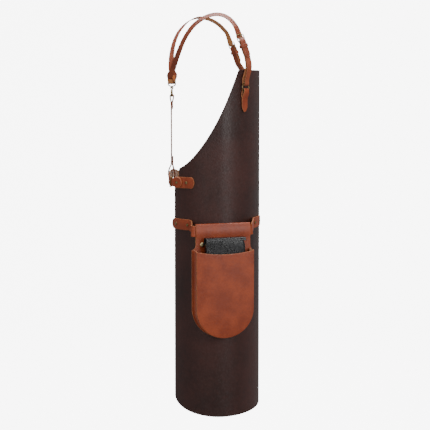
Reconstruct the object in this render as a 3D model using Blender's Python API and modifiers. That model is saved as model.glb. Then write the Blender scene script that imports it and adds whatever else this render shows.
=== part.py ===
"""Leather butcher apron with bib straps, a snap hook at the nape and a holster pocket.

Metres, +Z up. The wearer faces -Y and the wearer's right hand is at -X.
The origin is the shoulder rest, between the undersides of the two strap crowns.
"""
import bpy
import bmesh
import numpy as np
from math import radians, pi
from mathutils import Matrix, Vector

# The hide: an ellipse round the body in front, a deeper one behind the side seam.
BODY_Y = 0.003
BODY_A = 0.166
FRONT_B = 0.121
REAR_B = 0.151
WRAP_END = radians(140.3)
BIB_HALF_T = radians(57.0)
TOP_Z = -0.1545
HEM_Z = -1.1430
HIDE_T = 0.0022
GAP = 0.0003
LAID_GAP = 0.0006
STRAP_W = 0.019
STRAP_T = 0.0024
TAB_Z = -0.4710
BELT_Z = -0.5905
BELT_DIP_Z = -0.6018
BELT_W = 0.031
BELT_T = 0.0030
# The pocket's frame: its face is turned this far from the side towards the front.
POCKET_TURN = radians(21.0)
POCKET_XY = (-0.1739, -0.0200)
POCKET_HALF = 0.083
POCKET_DEPTH = 0.040
POCKET_T = 0.0030
HINGE_Z = -0.6200
FOLD_TOP_Z = -0.5815
NECK_HALF = 0.079
NECK_U = 0.0045
STUD_U = 0.0570
CASE_U = 0.0040
MOUTH_Z = -0.6550
ROUND_Z = -0.8180
RING_R = 0.0130
RING_WIRE = 0.0016
HOOK_Y = 0.1390
BOW_Z = -0.1865
HOOK_LOW_Z = -0.2290

for leftover in list(bpy.data.objects):
    bpy.data.objects.remove(leftover, do_unlink=True)
scene = bpy.context.scene
apron = bpy.data.collections.new("butcher_apron")
scene.collection.children.link(apron)
cutters = bpy.data.collections.new("cutters")
scene.collection.children.link(cutters)
cutters.hide_render = True


def material(name, colour, rough, metal=0.0):
    mat = bpy.data.materials.new(name)
    mat.use_nodes = True
    shader = mat.node_tree.nodes["Principled BSDF"]
    shader.inputs["Base Color"].default_value = (*colour, 1.0)
    shader.inputs["Roughness"].default_value = rough
    shader.inputs["Metallic"].default_value = metal
    return mat


HIDE = material("brown_hide", (0.045, 0.024, 0.020), 0.5)
COGNAC = material("cognac_leather", (0.28, 0.062, 0.021), 0.5)
STRAP = material("strap_leather", (0.21, 0.055, 0.026), 0.5)
BRASS = material("antique_brass", (0.42, 0.33, 0.16), 0.35, 1.0)
BLACK = material("black_leather", (0.008, 0.008, 0.009), 0.45)


def place(name, mesh, mat, matrix=None, smooth=True, home=apron):
    for polygon in mesh.polygons:
        polygon.use_smooth = smooth
    obj = bpy.data.objects.new(name, mesh)
    if mat:
        obj.data.materials.append(mat.copy())
    if matrix is not None:
        obj.matrix_world = matrix
    home.objects.link(obj)
    return obj


def mapped_grid(name, columns, rows, shape, weld=False):
    """A grid mesh whose vertex at column i and row j goes to shape(i, j), both as arrays."""
    bm = bmesh.new()
    bmesh.ops.create_grid(bm, x_segments=columns, y_segments=rows, size=1.0)
    uv = np.array([v.co[:2] for v in bm.verts])
    i = np.rint((uv[:, 0] + 1.0) * 0.5 * columns).astype(int)
    j = np.rint((uv[:, 1] + 1.0) * 0.5 * rows).astype(int)
    for vert, at in zip(bm.verts, shape(i, j)):
        vert.co = at
    if weld:
        bmesh.ops.remove_doubles(bm, verts=bm.verts, dist=1e-6)
    mesh = bpy.data.meshes.new(name)
    bm.to_mesh(mesh)
    bm.free()
    return mesh


def thicken(obj, thickness, offset=0.0):
    solid = obj.modifiers.new("thickness", "SOLIDIFY")
    solid.thickness = thickness
    solid.offset = offset
    return obj


def cut_with(obj, cutter):
    cut = obj.modifiers.new("cut", "BOOLEAN")
    cut.operation = "DIFFERENCE"
    cut.solver = "EXACT"
    cut.object = cutter
    return obj


def smooth_path(points, count):
    """A Catmull-Rom curve through the points, at even steps of its length."""
    p = np.asarray(points, float)
    ends = np.vstack([2 * p[0] - p[1], p, 2 * p[-1] - p[-2]])
    t = np.linspace(0.0, 1.0, 12, endpoint=False)[:, None]
    dense = [
        0.5 * (2 * b + (c - a) * t + (2 * a - 5 * b + 4 * c - d) * t**2
               + (3 * b - a - 3 * c + d) * t**3)
        for a, b, c, d in zip(ends, ends[1:], ends[2:], ends[3:])
    ]
    dense = np.vstack([*dense, p[-1:]])
    run = np.concatenate([[0], np.cumsum(np.linalg.norm(np.diff(dense, axis=0), axis=1))])
    at = np.linspace(0.0, run[-1], count)
    return np.stack([np.interp(at, run, dense[:, k]) for k in range(p.shape[1])], axis=1)


def square_to(path, side, closed=False):
    """The side vectors made unit length and square to the path's direction."""
    if closed:
        along = np.roll(path, -1, axis=0) - np.roll(path, 1, axis=0)
    else:
        along = np.gradient(path, axis=0)
    along /= np.linalg.norm(along, axis=1)[:, None]
    side = side - (side * along).sum(axis=1)[:, None] * along
    return side / np.linalg.norm(side, axis=1)[:, None]


def strip(name, path, side, width, thickness, mat, matrix=None, rows=2, ends=(0.0, 0.0), closed=False):
    """A flat leather strip along the path. ends: how far each end bulges in a round."""
    path = np.asarray(path, float)
    side = np.broadcast_to(np.asarray(side, float), path.shape)
    side = square_to(path, side, closed)
    widths = np.broadcast_to(np.asarray(width, float), len(path))
    along = np.gradient(path, axis=0)
    along /= np.linalg.norm(along, axis=1)[:, None]
    last = len(path) - 1

    def shape(i, j):
        k = i % len(path) if closed else i
        v = 2.0 * j / rows - 1.0
        at = path[k] + side[k] * (0.5 * widths[k] * v)[:, None]
        if not closed:
            at += along[k] * (np.where(i == last, 1.0, 0.0) * ends[1] * (1 - v * v))[:, None]
            at -= along[k] * (np.where(i == 0, 1.0, 0.0) * ends[0] * (1 - v * v))[:, None]
        return at

    columns = len(path) if closed else last
    mesh = mapped_grid(name, columns, rows, shape, weld=closed)
    return thicken(place(name, mesh, mat, matrix), thickness)


def lathe(name, profile, mat, matrix, steps=20):
    """A turned piece: the (radius, height) profile runs from the top down round local Z."""
    mesh = bpy.data.meshes.new(name)
    points = [(r, 0.0, z) for r, z in profile]
    mesh.from_pydata(points, [(k, k + 1) for k in range(len(points) - 1)], [])
    obj = place(name, mesh, mat, matrix)
    turn = obj.modifiers.new("turn", "SCREW")
    turn.steps = steps
    turn.render_steps = steps
    turn.use_merge_vertices = True
    turn.merge_threshold = 1e-5
    turn.use_smooth_shade = True
    return obj


def wire(name, points, radius, mat, cyclic=False, matrix=None, sides=2):
    """A round metal wire along the points."""
    curve = bpy.data.curves.new(name, "CURVE")
    curve.dimensions = "3D"
    curve.bevel_depth = radius
    curve.bevel_resolution = sides
    curve.use_fill_caps = True
    line = curve.splines.new("POLY")
    line.points.add(len(points) - 1)
    for slot, at in zip(line.points, points):
        slot.co = (*at, 1.0)
    line.use_cyclic_u = cyclic
    obj = bpy.data.objects.new(name, curve)
    if matrix is not None:
        obj.matrix_world = matrix
    curve.materials.append(mat.copy())
    apron.objects.link(obj)
    return obj


def frame_matrix(origin, x_axis, z_axis):
    """Local X as near x_axis as it can be, local Z along z_axis."""
    z = Vector(z_axis).normalized()
    y = z.cross(Vector(x_axis)).normalized()
    x = y.cross(z)
    turn = Matrix((x, y, z)).transposed().to_4x4()
    return Matrix.Translation(Vector(origin)) @ turn


# Arc length round the hide, from the front centre to the rear edge.
T_TABLE = np.linspace(0.0, radians(178.0), 900)
B_TABLE = np.where(T_TABLE < pi / 2, FRONT_B, REAR_B)
S_TABLE = np.concatenate([[0.0], np.cumsum(np.hypot(
    BODY_A * np.diff(np.sin(T_TABLE)), B_TABLE[1:] * np.diff(np.cos(T_TABLE))))])
S_END = float(np.interp(WRAP_END, T_TABLE, S_TABLE))
S_BIB = float(np.interp(BIB_HALF_T, T_TABLE, S_TABLE))


def wrap(s, z, out):
    """The point at arc length s (right side positive), height z, this far outside the hide."""
    s, z, out = np.broadcast_arrays(np.asarray(s, float), z, out)
    t = np.interp(np.abs(s), S_TABLE, T_TABLE)
    b = np.where(t < pi / 2, FRONT_B, REAR_B)
    flare = 1.0 + 0.018 * np.clip((TOP_Z - z) / (TOP_Z - HEM_Z), 0.0, 1.0)
    x = BODY_A * np.sin(t) * flare
    y = -b * np.cos(t) * flare
    nx = np.sin(t) / BODY_A
    ny = -np.cos(t) / b
    size = np.hypot(nx, ny)
    x = -np.sign(s) * (x + out * nx / size)
    return np.stack([x, BODY_Y + y + out * ny / size, z], axis=-1)


def s_at_y(y):
    """Arc length of the hide's point with this Y."""
    t = T_TABLE
    b = np.where(t < pi / 2, FRONT_B, REAR_B)
    return float(np.interp(y, BODY_Y - 1.01 * b * np.cos(t), S_TABLE))


# ---- The hide: bib, armholes, skirt ----
# The armhole runs straight down from the bib's corner, then eases to level at the rear edge.
# Its run is counted in shares of the way from the bib's edge to the rear edge.
ARM_TOP_Z = -0.1600
ARM_SLOPE = 0.4700
ARM_STRAIGHT = 0.1600
# Above the waist tab the rear edge is cut this much narrower, eased in over this run.
TAPER, TAPER_RUN = 0.022, 0.090
TAPER_LOW, TAPER_HIGH = -0.4900, -0.4550
HEM_RUN, HEM_RISE = 0.160, 0.047


def taper(s, z):
    """Arc length after the cut above the waist tab."""
    ease = np.clip((z - TAPER_LOW) / (TAPER_HIGH - TAPER_LOW), 0.0, 1.0)
    ease = ease * ease * (3 - 2 * ease)
    near_edge = np.clip((np.abs(s) - (S_END - TAPER_RUN)) / TAPER_RUN, 0.0, 1.0)
    return s - np.sign(s) * TAPER * ease * near_edge


half = np.concatenate([np.linspace(0.0, S_BIB, 10)[:-1], np.linspace(S_BIB, S_END, 17)])
panel_s = np.concatenate([-half[:0:-1], half])
reach = np.clip((np.abs(taper(panel_s, 0.0)) - S_BIB) / (S_END - S_BIB), 0.0, 1.0)
curved = np.clip(reach - ARM_STRAIGHT, 0.0, 1.0)
arm_drop = ARM_SLOPE * (reach - curved**2 / (2 * (1 - ARM_STRAIGHT)))
panel_top = np.where(reach > 0.0, ARM_TOP_Z - arm_drop, TOP_Z)
corner = np.clip((np.abs(panel_s) - (S_END - HEM_RUN)) / HEM_RUN, 0.0, 1.0)
panel_low = HEM_Z + HEM_RISE * (1.0 - np.sqrt(1.0 - corner**2))
ROWS = 22


def panel_shape(i, j):
    f = j / ROWS
    z = panel_top[i] * (1.0 - f) + panel_low[i] * f
    return wrap(taper(panel_s[i], z), z, 0.0)


panel = place("apron_panel", mapped_grid("apron_panel", len(panel_s) - 1, ROWS, panel_shape), HIDE)
bm = bmesh.new()
bm.from_mesh(panel.data)
front = max(bm.faces, key=lambda face: -face.calc_center_median().y)
if front.normal.y > 0:
    bmesh.ops.reverse_faces(bm, faces=bm.faces)
bm.to_mesh(panel.data)
bm.free()
thicken(panel, HIDE_T, -1.0)


# ---- Rivets: a domed head, a shank through the leather, a washer inside ----
def rivet_frame(s, z, out=0.0):
    here = wrap(s, z, out)
    outward = wrap(s, z, out + 0.01) - here
    return frame_matrix(here, (0.0, 0.0, 1.0), outward)


def rivet(name, matrix, stack, head=0.0042, shank=0.0016):
    """Through a stack of leather this thick, from the hide's inner face outwards."""
    low = -HIDE_T - GAP
    top = low + stack + 2 * GAP
    lathe(name, [(0.0, top + 0.0020), (head * 0.7, top + 0.0014), (head, top), (shank, top),
                 (shank, low), (head * 0.9, low), (head * 0.9, low - 0.0010), (0.0, low - 0.0010)],
          BRASS, matrix, 16)
    mesh = bpy.data.meshes.new(name + "_hole")
    bm = bmesh.new()
    bmesh.ops.create_cone(bm, cap_ends=True, segments=16, radius1=shank + GAP, radius2=shank + GAP,
                          depth=0.030)
    bm.to_mesh(mesh)
    bm.free()
    hole = place(name + "_hole", mesh, None, matrix, home=cutters)
    hole.display_type = "WIRE"
    return hole


# ---- Side tabs at the waist, with the knobs that hold the waist strap ----
TAB_T = 0.0025
S_RIVET = s_at_y(0.0805)
knob_frames = {}
for name, sign in (("right", 1.0), ("left", -1.0)):
    seat = LAID_GAP + TAB_T / 2
    laid = [wrap(sign * s, TAB_Z, seat) for s in np.linspace(S_RIVET - 0.021, S_RIVET + 0.005, 6)]
    bend = wrap(sign * S_RIVET, TAB_Z, seat)
    away = np.array([sign * 0.45, 0.893, 0.0])
    free = [bend + away * d for d in (0.012, 0.021, 0.030, 0.040)]
    path = np.array(laid + free)
    tab = strip("side_tab_" + name, path, (0.0, 0.0, 1.0), 0.0320, TAB_T, COGNAC,
                rows=8, ends=(0.004, 0.004))
    hole = rivet("side_tab_rivet_" + name, rivet_frame(sign * S_RIVET, TAB_Z), HIDE_T + LAID_GAP + TAB_T)
    cut_with(panel, hole)
    cut_with(tab, hole)
    knob = bend + away * 0.030
    out = np.array([-sign * 0.893, 0.45, 0.0])
    knob_frames[name] = (knob, out)
    matrix = frame_matrix(knob, (0.0, 0.0, 1.0), out)
    face = TAB_T / 2 + GAP
    lathe("knob_disc_" + name, [(0.0024, face + 0.0045), (0.0145, face + 0.0045),
                                (0.0160, face + 0.0032), (0.0160, face + 0.0010),
                                (0.0150, face), (0.0024, face), (0.0024, face + 0.0045)],
          COGNAC, matrix, 28)
    cap = face + 0.0045 + GAP
    inner = -(TAB_T / 2 + LAID_GAP + 0.0030 + GAP)
    lathe("knob_post_" + name, [(0.0, cap + 0.0016), (0.0028, cap + 0.0011), (0.0040, cap),
                                (0.0019, cap), (0.0019, inner), (0.0050, inner),
                                (0.0050, inner - 0.0010), (0.0, inner - 0.0010)], BRASS, matrix, 16)
    mesh = bpy.data.meshes.new("knob_hole_" + name)
    bm = bmesh.new()
    bmesh.ops.create_cone(bm, cap_ends=True, segments=16, radius1=0.0023, radius2=0.0023, depth=0.02)
    bm.to_mesh(mesh)
    bm.free()
    hole = place("knob_hole_" + name, mesh, None, matrix, home=cutters)
    hole.display_type = "WIRE"
    cut_with(tab, hole)
    knob_frames[name] += (hole,)

# ---- Waist strap across the back ----
WAIST_T = 0.0030
points = []
for name, sign in (("right", 1.0), ("left", -1.0)):
    knob, out, hole = knob_frames[name]
    away = np.array([sign * 0.45, 0.893, 0.0])
    under = knob - out * (TAB_T / 2 + LAID_GAP + WAIST_T / 2)
    run = [under - away * 0.0105, under, under + away * 0.009, under + away * 0.016, under + away * 0.023,
           np.array([-sign * 0.1020, 0.1360, -0.4660]), np.array([-sign * 0.0600, 0.1402, -0.4595])]
    points.append(run)
waist = smooth_path(points[0] + [np.array([0.0, 0.1405, -0.4565])] + points[1][::-1], 61)
waist_strap = strip("waist_strap", waist, (0.0, 0.0, 1.0), 0.0250, WAIST_T, STRAP, rows=4,
                    ends=(0.002, 0.002))
for name in ("right", "left"):
    cut_with(waist_strap, knob_frames[name][2])
    k = 7 if name == "right" else 53
    along = waist[k + 1] - waist[k - 1]
    matrix = frame_matrix(waist[k], (0.0, 0.0, 1.0), along)
    tall, deep = 0.0125 + 0.0018, 0.0015 + 0.0018
    turns = [(tall - 0.0008, deep), (tall, deep - 0.0008), (tall, 0.0008 - deep), (tall - 0.0008, -deep),
             (0.0008 - tall, -deep), (-tall, 0.0008 - deep), (-tall, deep - 0.0008), (0.0008 - tall, deep)]
    wire("waist_loop_" + name, [(x, y, 0.0) for x, y in turns], 0.0013, BRASS, True, matrix)

# ---- Carrier belt over the right hip ----
n_out = np.array([-np.cos(POCKET_TURN), -np.sin(POCKET_TURN)])
e_u = np.array([np.sin(POCKET_TURN), -np.cos(POCKET_TURN)])


def pocket_xy(u, n):
    return np.asarray(POCKET_XY) + e_u * u + n_out * n


seat = LAID_GAP + BELT_T / 2
belt_n = -(0.0004 + BELT_T / 2)
S_REAR = (s_at_y(0.1120), s_at_y(0.0770))
rear = [wrap(s, BELT_Z, seat) for s in np.linspace(S_END + 0.002, s_at_y(0.0720), 9)]
middle = [(*pocket_xy(u, belt_n), BELT_DIP_Z) for u in np.linspace(-0.083, 0.088, 9)]
S_FRONT = (s_at_y(-0.1065), s_at_y(-0.1170))
fore = [wrap(s, BELT_Z, seat) for s in np.linspace(S_FRONT[0] + 0.010, S_FRONT[1] - 0.014, 9)]
turn_in = [(-0.1600, 0.0665, -0.5935), (-0.1780, 0.0630, -0.5975), (-0.1945, 0.0625, -0.6000)]
turn_out = [(-0.1335, -0.1030, -0.5985), (-0.1165, -0.1042, -0.5955), (-0.0980, -0.1050, -0.5925)]
belt_path = np.array(rear + turn_in + middle + turn_out + fore)
belt = strip("carrier_belt", belt_path, (0.0, 0.0, 1.0), BELT_W, BELT_T, COGNAC, rows=8,
             ends=(0.006, 0.006))
for k, s in enumerate((*S_REAR, *S_FRONT)):
    hole = rivet("belt_rivet_%d" % (k + 1), rivet_frame(s, BELT_Z), HIDE_T + LAID_GAP + BELT_T)
    cut_with(panel, hole)
    cut_with(belt, hole)

# ---- Holster pocket, in a frame of its own: local X along it, local -Y outwards ----
pocket_turn = Matrix.Rotation(-(pi / 2 - POCKET_TURN), 4, "Z")


def pocket_frame(n, z):
    x, y = pocket_xy(0.0, n)
    return Matrix.Translation((x, y, z)) @ pocket_turn


hinge = pocket_frame(POCKET_T, HINGE_Z)


def local(u, n, z):
    """Into the hinge's frame, whose origin is on the leather's outer face."""
    u, n, z = np.broadcast_arrays(np.asarray(u, float), n, z)
    return np.stack([u, POCKET_T - n, z - HINGE_Z], axis=-1)


# The fold that carries the pocket on the belt.
back_n = belt_n - BELT_T / 2 - 0.0004 - POCKET_T / 2
front_n = POCKET_T / 2
mid_n, arc_r = (front_n + back_n) / 2, (front_n - back_n) / 2
arc_z = FOLD_TOP_Z - POCKET_T / 2 - arc_r * 0.72
fold = [(front_n, HINGE_Z + 0.0002), (front_n, -0.610), (front_n, -0.598), (front_n, arc_z)]
fold += [(mid_n + arc_r * np.cos(a), arc_z + arc_r * 0.72 * np.sin(a)) for a in np.linspace(0, pi, 9)[1:-1]]
fold += [(back_n, arc_z), (back_n, -0.598), (back_n, -0.610), (back_n, HINGE_Z + 0.0002)]
fold = np.array([local(NECK_U, n, z) for n, z in fold])
strip("hanger_loop", fold, (1.0, 0.0, 0.0), 2 * NECK_HALF, POCKET_T, COGNAC, hinge, rows=6)


def plate(name, us, top, low, n, thickness, rows, mat=COGNAC):
    us, top, low = np.asarray(us), np.asarray(top), np.asarray(low)

    def shape(i, j):
        f = j / rows
        return local(us[i], n + thickness / 2, top[i] * (1 - f) + low[i] * f)

    return thicken(place(name, mapped_grid(name, len(us) - 1, rows, shape), mat, hinge), thickness)


def u_bottom(us, half_width):
    return ROUND_Z - np.sqrt(np.clip(half_width**2 - us**2, 0.0, None))


BACK_HALF = 0.0870
neck = (NECK_U - NECK_HALF, NECK_U + NECK_HALF)
between = NECK_U + NECK_HALF * np.sin(np.linspace(-pi / 2, pi / 2, 19))[1:-1] * 0.985
us = np.concatenate([np.linspace(-BACK_HALF, neck[0], 6), between, np.linspace(neck[1], BACK_HALF, 4)])
spread = np.maximum((neck[0] - us) / (neck[0] + BACK_HALF), (us - neck[1]) / (BACK_HALF - neck[1]))
spread = np.clip(spread, 0.0, 1.0)
top = np.where(spread > 0, -0.6340 - 0.0200 * np.sqrt(spread), HINGE_Z - 0.0002)
pocket_back = plate("pocket_back", us, top, u_bottom(us, BACK_HALF), 0.0, POCKET_T, 10)
return_us = NECK_U + np.linspace(-NECK_HALF, NECK_HALF, 7)
hanger_return = plate("hanger_return", return_us, np.full(7, HINGE_Z - 0.0002), np.full(7, -0.6520),
                      back_n - POCKET_T / 2, POCKET_T, 2)
us = POCKET_HALF * np.sin(np.linspace(-pi / 2, pi / 2, 25))
mouth = MOUTH_Z - 0.0090 * (1.0 - (us / POCKET_HALF) ** 2)
plate("pocket_front", us, mouth, u_bottom(us, POCKET_HALF), POCKET_DEPTH - POCKET_T, POCKET_T, 8)
GUSSET_T = 0.0025
r = POCKET_HALF - GUSSET_T / 2 - 0.0004
wall = [(-r, z) for z in np.linspace(MOUTH_Z + 0.0005, ROUND_Z, 6)]
wall += [(r * np.sin(a), ROUND_Z - r * np.cos(a)) for a in np.linspace(-pi / 2, pi / 2, 25)[1:-1]]
wall += [(r, z) for z in np.linspace(ROUND_Z, MOUTH_Z + 0.0005, 6)]
centre_n = (POCKET_T + POCKET_DEPTH - POCKET_T) / 2
gusset = np.array([local(u, centre_n, z) for u, z in wall])
strip("pocket_gusset", gusset, (0.0, 1.0, 0.0), POCKET_DEPTH - 2 * POCKET_T - 2 * GAP, GUSSET_T, COGNAC,
      hinge, rows=2)
stack = POCKET_T - (back_n - POCKET_T / 2)
for name, u in (("rear", -STUD_U), ("front", STUD_U)):
    at = local(u, POCKET_T, -0.6400)
    matrix = hinge @ Matrix.Translation(Vector(at)) @ Matrix.Rotation(pi / 2, 4, "X")
    lathe("hanger_stud_" + name, [(0.0, 0.0032), (0.0040, 0.0026), (0.0066, 0.0012), (0.0070, GAP),
                                  (0.0018, GAP), (0.0018, -stack - GAP), (0.0040, -stack - GAP),
                                  (0.0040, -stack - 0.0011), (0.0, -stack - 0.0011)], BRASS, matrix, 24)
    mesh = bpy.data.meshes.new("stud_hole_" + name)
    bm = bmesh.new()
    bmesh.ops.create_cone(bm, cap_ends=True, segments=16, radius1=0.0021, radius2=0.0021, depth=0.04)
    bm.to_mesh(mesh)
    bm.free()
    hole = place("stud_hole_" + name, mesh, None, matrix, home=cutters)
    hole.display_type = "WIRE"
    cut_with(pocket_back, hole)
    cut_with(hanger_return, hole)

# The flat black case that slides in the pocket, and its flap.
CASE_N, CASE_T = 0.0090, 0.0220
case_low, case_top = -0.8000, -0.6225
bm = bmesh.new()
bmesh.ops.create_cube(bm, size=1.0)
bmesh.ops.scale(bm, vec=(0.1150, CASE_T, case_top - case_low), verts=bm.verts)
bmesh.ops.bevel(bm, geom=bm.edges, offset=0.0055, segments=3, affect="EDGES", profile=0.5)
centre = local(CASE_U, CASE_N + CASE_T / 2, (case_top + case_low) / 2)
bmesh.ops.translate(bm, vec=Vector(centre), verts=bm.verts)
mesh = bpy.data.meshes.new("insert_case")
bm.to_mesh(mesh)
bm.free()
place("insert_case", mesh, BLACK, hinge)
FLAP_T = 0.0018
lift = 0.0006 + FLAP_T / 2
flap = [(CASE_N - lift, -0.6400), (CASE_N - lift, -0.6290), (CASE_N + 0.0020, -0.6225 + lift + 0.0001),
        (CASE_N + 0.0060, -0.6223 + lift), (CASE_N + CASE_T - 0.0060, -0.6223 + lift),
        (CASE_N + CASE_T - 0.0012, -0.6228 + lift), (CASE_N + CASE_T + lift, -0.6290),
        (CASE_N + CASE_T + lift, -0.6400), (CASE_N + CASE_T + lift, -0.6560), (CASE_N + CASE_T + lift, -0.6660)]
flap = smooth_path([local(CASE_U, n, z) for n, z in flap], 25)
strip("insert_flap", flap, (1.0, 0.0, 0.0), 0.1150, FLAP_T, BLACK, hinge, rows=8, ends=(0.0, 0.008))

# ---- Bib tabs and rings ----
S_TAB = s_at_y(-0.0790)
RING_Z = -0.2030
RING_OUT = 0.0072
ring_frames = {}
for name, sign in (("right", 1.0), ("left", -1.0)):
    base = wrap(sign * S_TAB, RING_Z, 0.0)
    out = wrap(sign * S_TAB, RING_Z, 1.0) - base
    out /= np.linalg.norm(out)
    across = np.array([out[1], -out[0], 0.0])
    centre = base + out * RING_OUT
    ring_frames[name] = (base, out, across, centre)
    matrix = frame_matrix(centre, (0.0, 0.0, 1.0), out)
    low = Matrix.Translation(Vector((0.0, 0.0, -RING_R)))
    turn = matrix.to_3x3().to_4x4()
    bpy.ops.mesh.primitive_torus_add(major_radius=RING_R, minor_radius=RING_WIRE, major_segments=36,
                                     minor_segments=10)
    ring = bpy.context.active_object
    ring.name = "bib_ring_" + name
    ring.data.transform(turn)
    ring.data.transform(Matrix.Translation((0.0, 0.0, RING_R)))
    ring.matrix_world = Matrix.Translation(Vector(centre)) @ low
    for polygon in ring.data.polygons:
        polygon.use_smooth = True
    ring.data.materials.append(BRASS.copy())
    for home in list(ring.users_collection):
        home.objects.unlink(ring)
    apron.objects.link(ring)
    t = 0.0020
    back, fore_d = LAID_GAP + t / 2, RING_OUT + 0.0029 + t / 2
    top = RING_Z - 0.0038
    turns = [(back, -0.2560), (back, -0.2400), (back, -0.2250), (back, -0.2130)]
    mid, rad = (back + fore_d) / 2, (fore_d - back) / 2
    turns += [(mid - rad * np.cos(a), top - 0.0030 + 0.0030 * np.sin(a)) for a in np.linspace(0, pi, 9)]
    turns += [(fore_d, -0.2120), (fore_d - 0.0004, -0.2185), (fore_d - 0.0040, -0.2270),
              (back + t + GAP + 0.0001, -0.2340), (back + t + GAP, -0.2400), (back + t + GAP, -0.2560),
              (back + t + GAP, -0.2680)]
    path = np.array([base + out * d + np.array([0, 0, z - RING_Z]) for d, z in turns])
    flat = np.interp([z for d, z in turns], [-0.2680, -0.2600, -0.2240, -0.2160], [0.009, 0.023, 0.023, 0.019])
    flat[:2] = 0.0200
    strip("bib_tab_" + name, path, across, flat, t, COGNAC, rows=4, ends=(0.0, 0.0045))


# ---- Shoulder straps, buckles, chest straps and keepers ----
BAR_R = 0.0014
PRONG_R = 0.0011
CHEST_T = 0.0022
HEEL = -0.0095
FAR = 0.0100
# The snap hook's bow: its bar lies across the back but turned towards front and back.
BOW_R = 0.0018
BOW_AT = np.array([0.0, HOOK_Y, BOW_Z])
BOW_BAR = np.array([0.5, 0.866, 0.0])
BOW_CROSS = np.array([0.866, -0.5, 0.0])
loop_r = BAR_R + GAP + CHEST_T / 2


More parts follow.
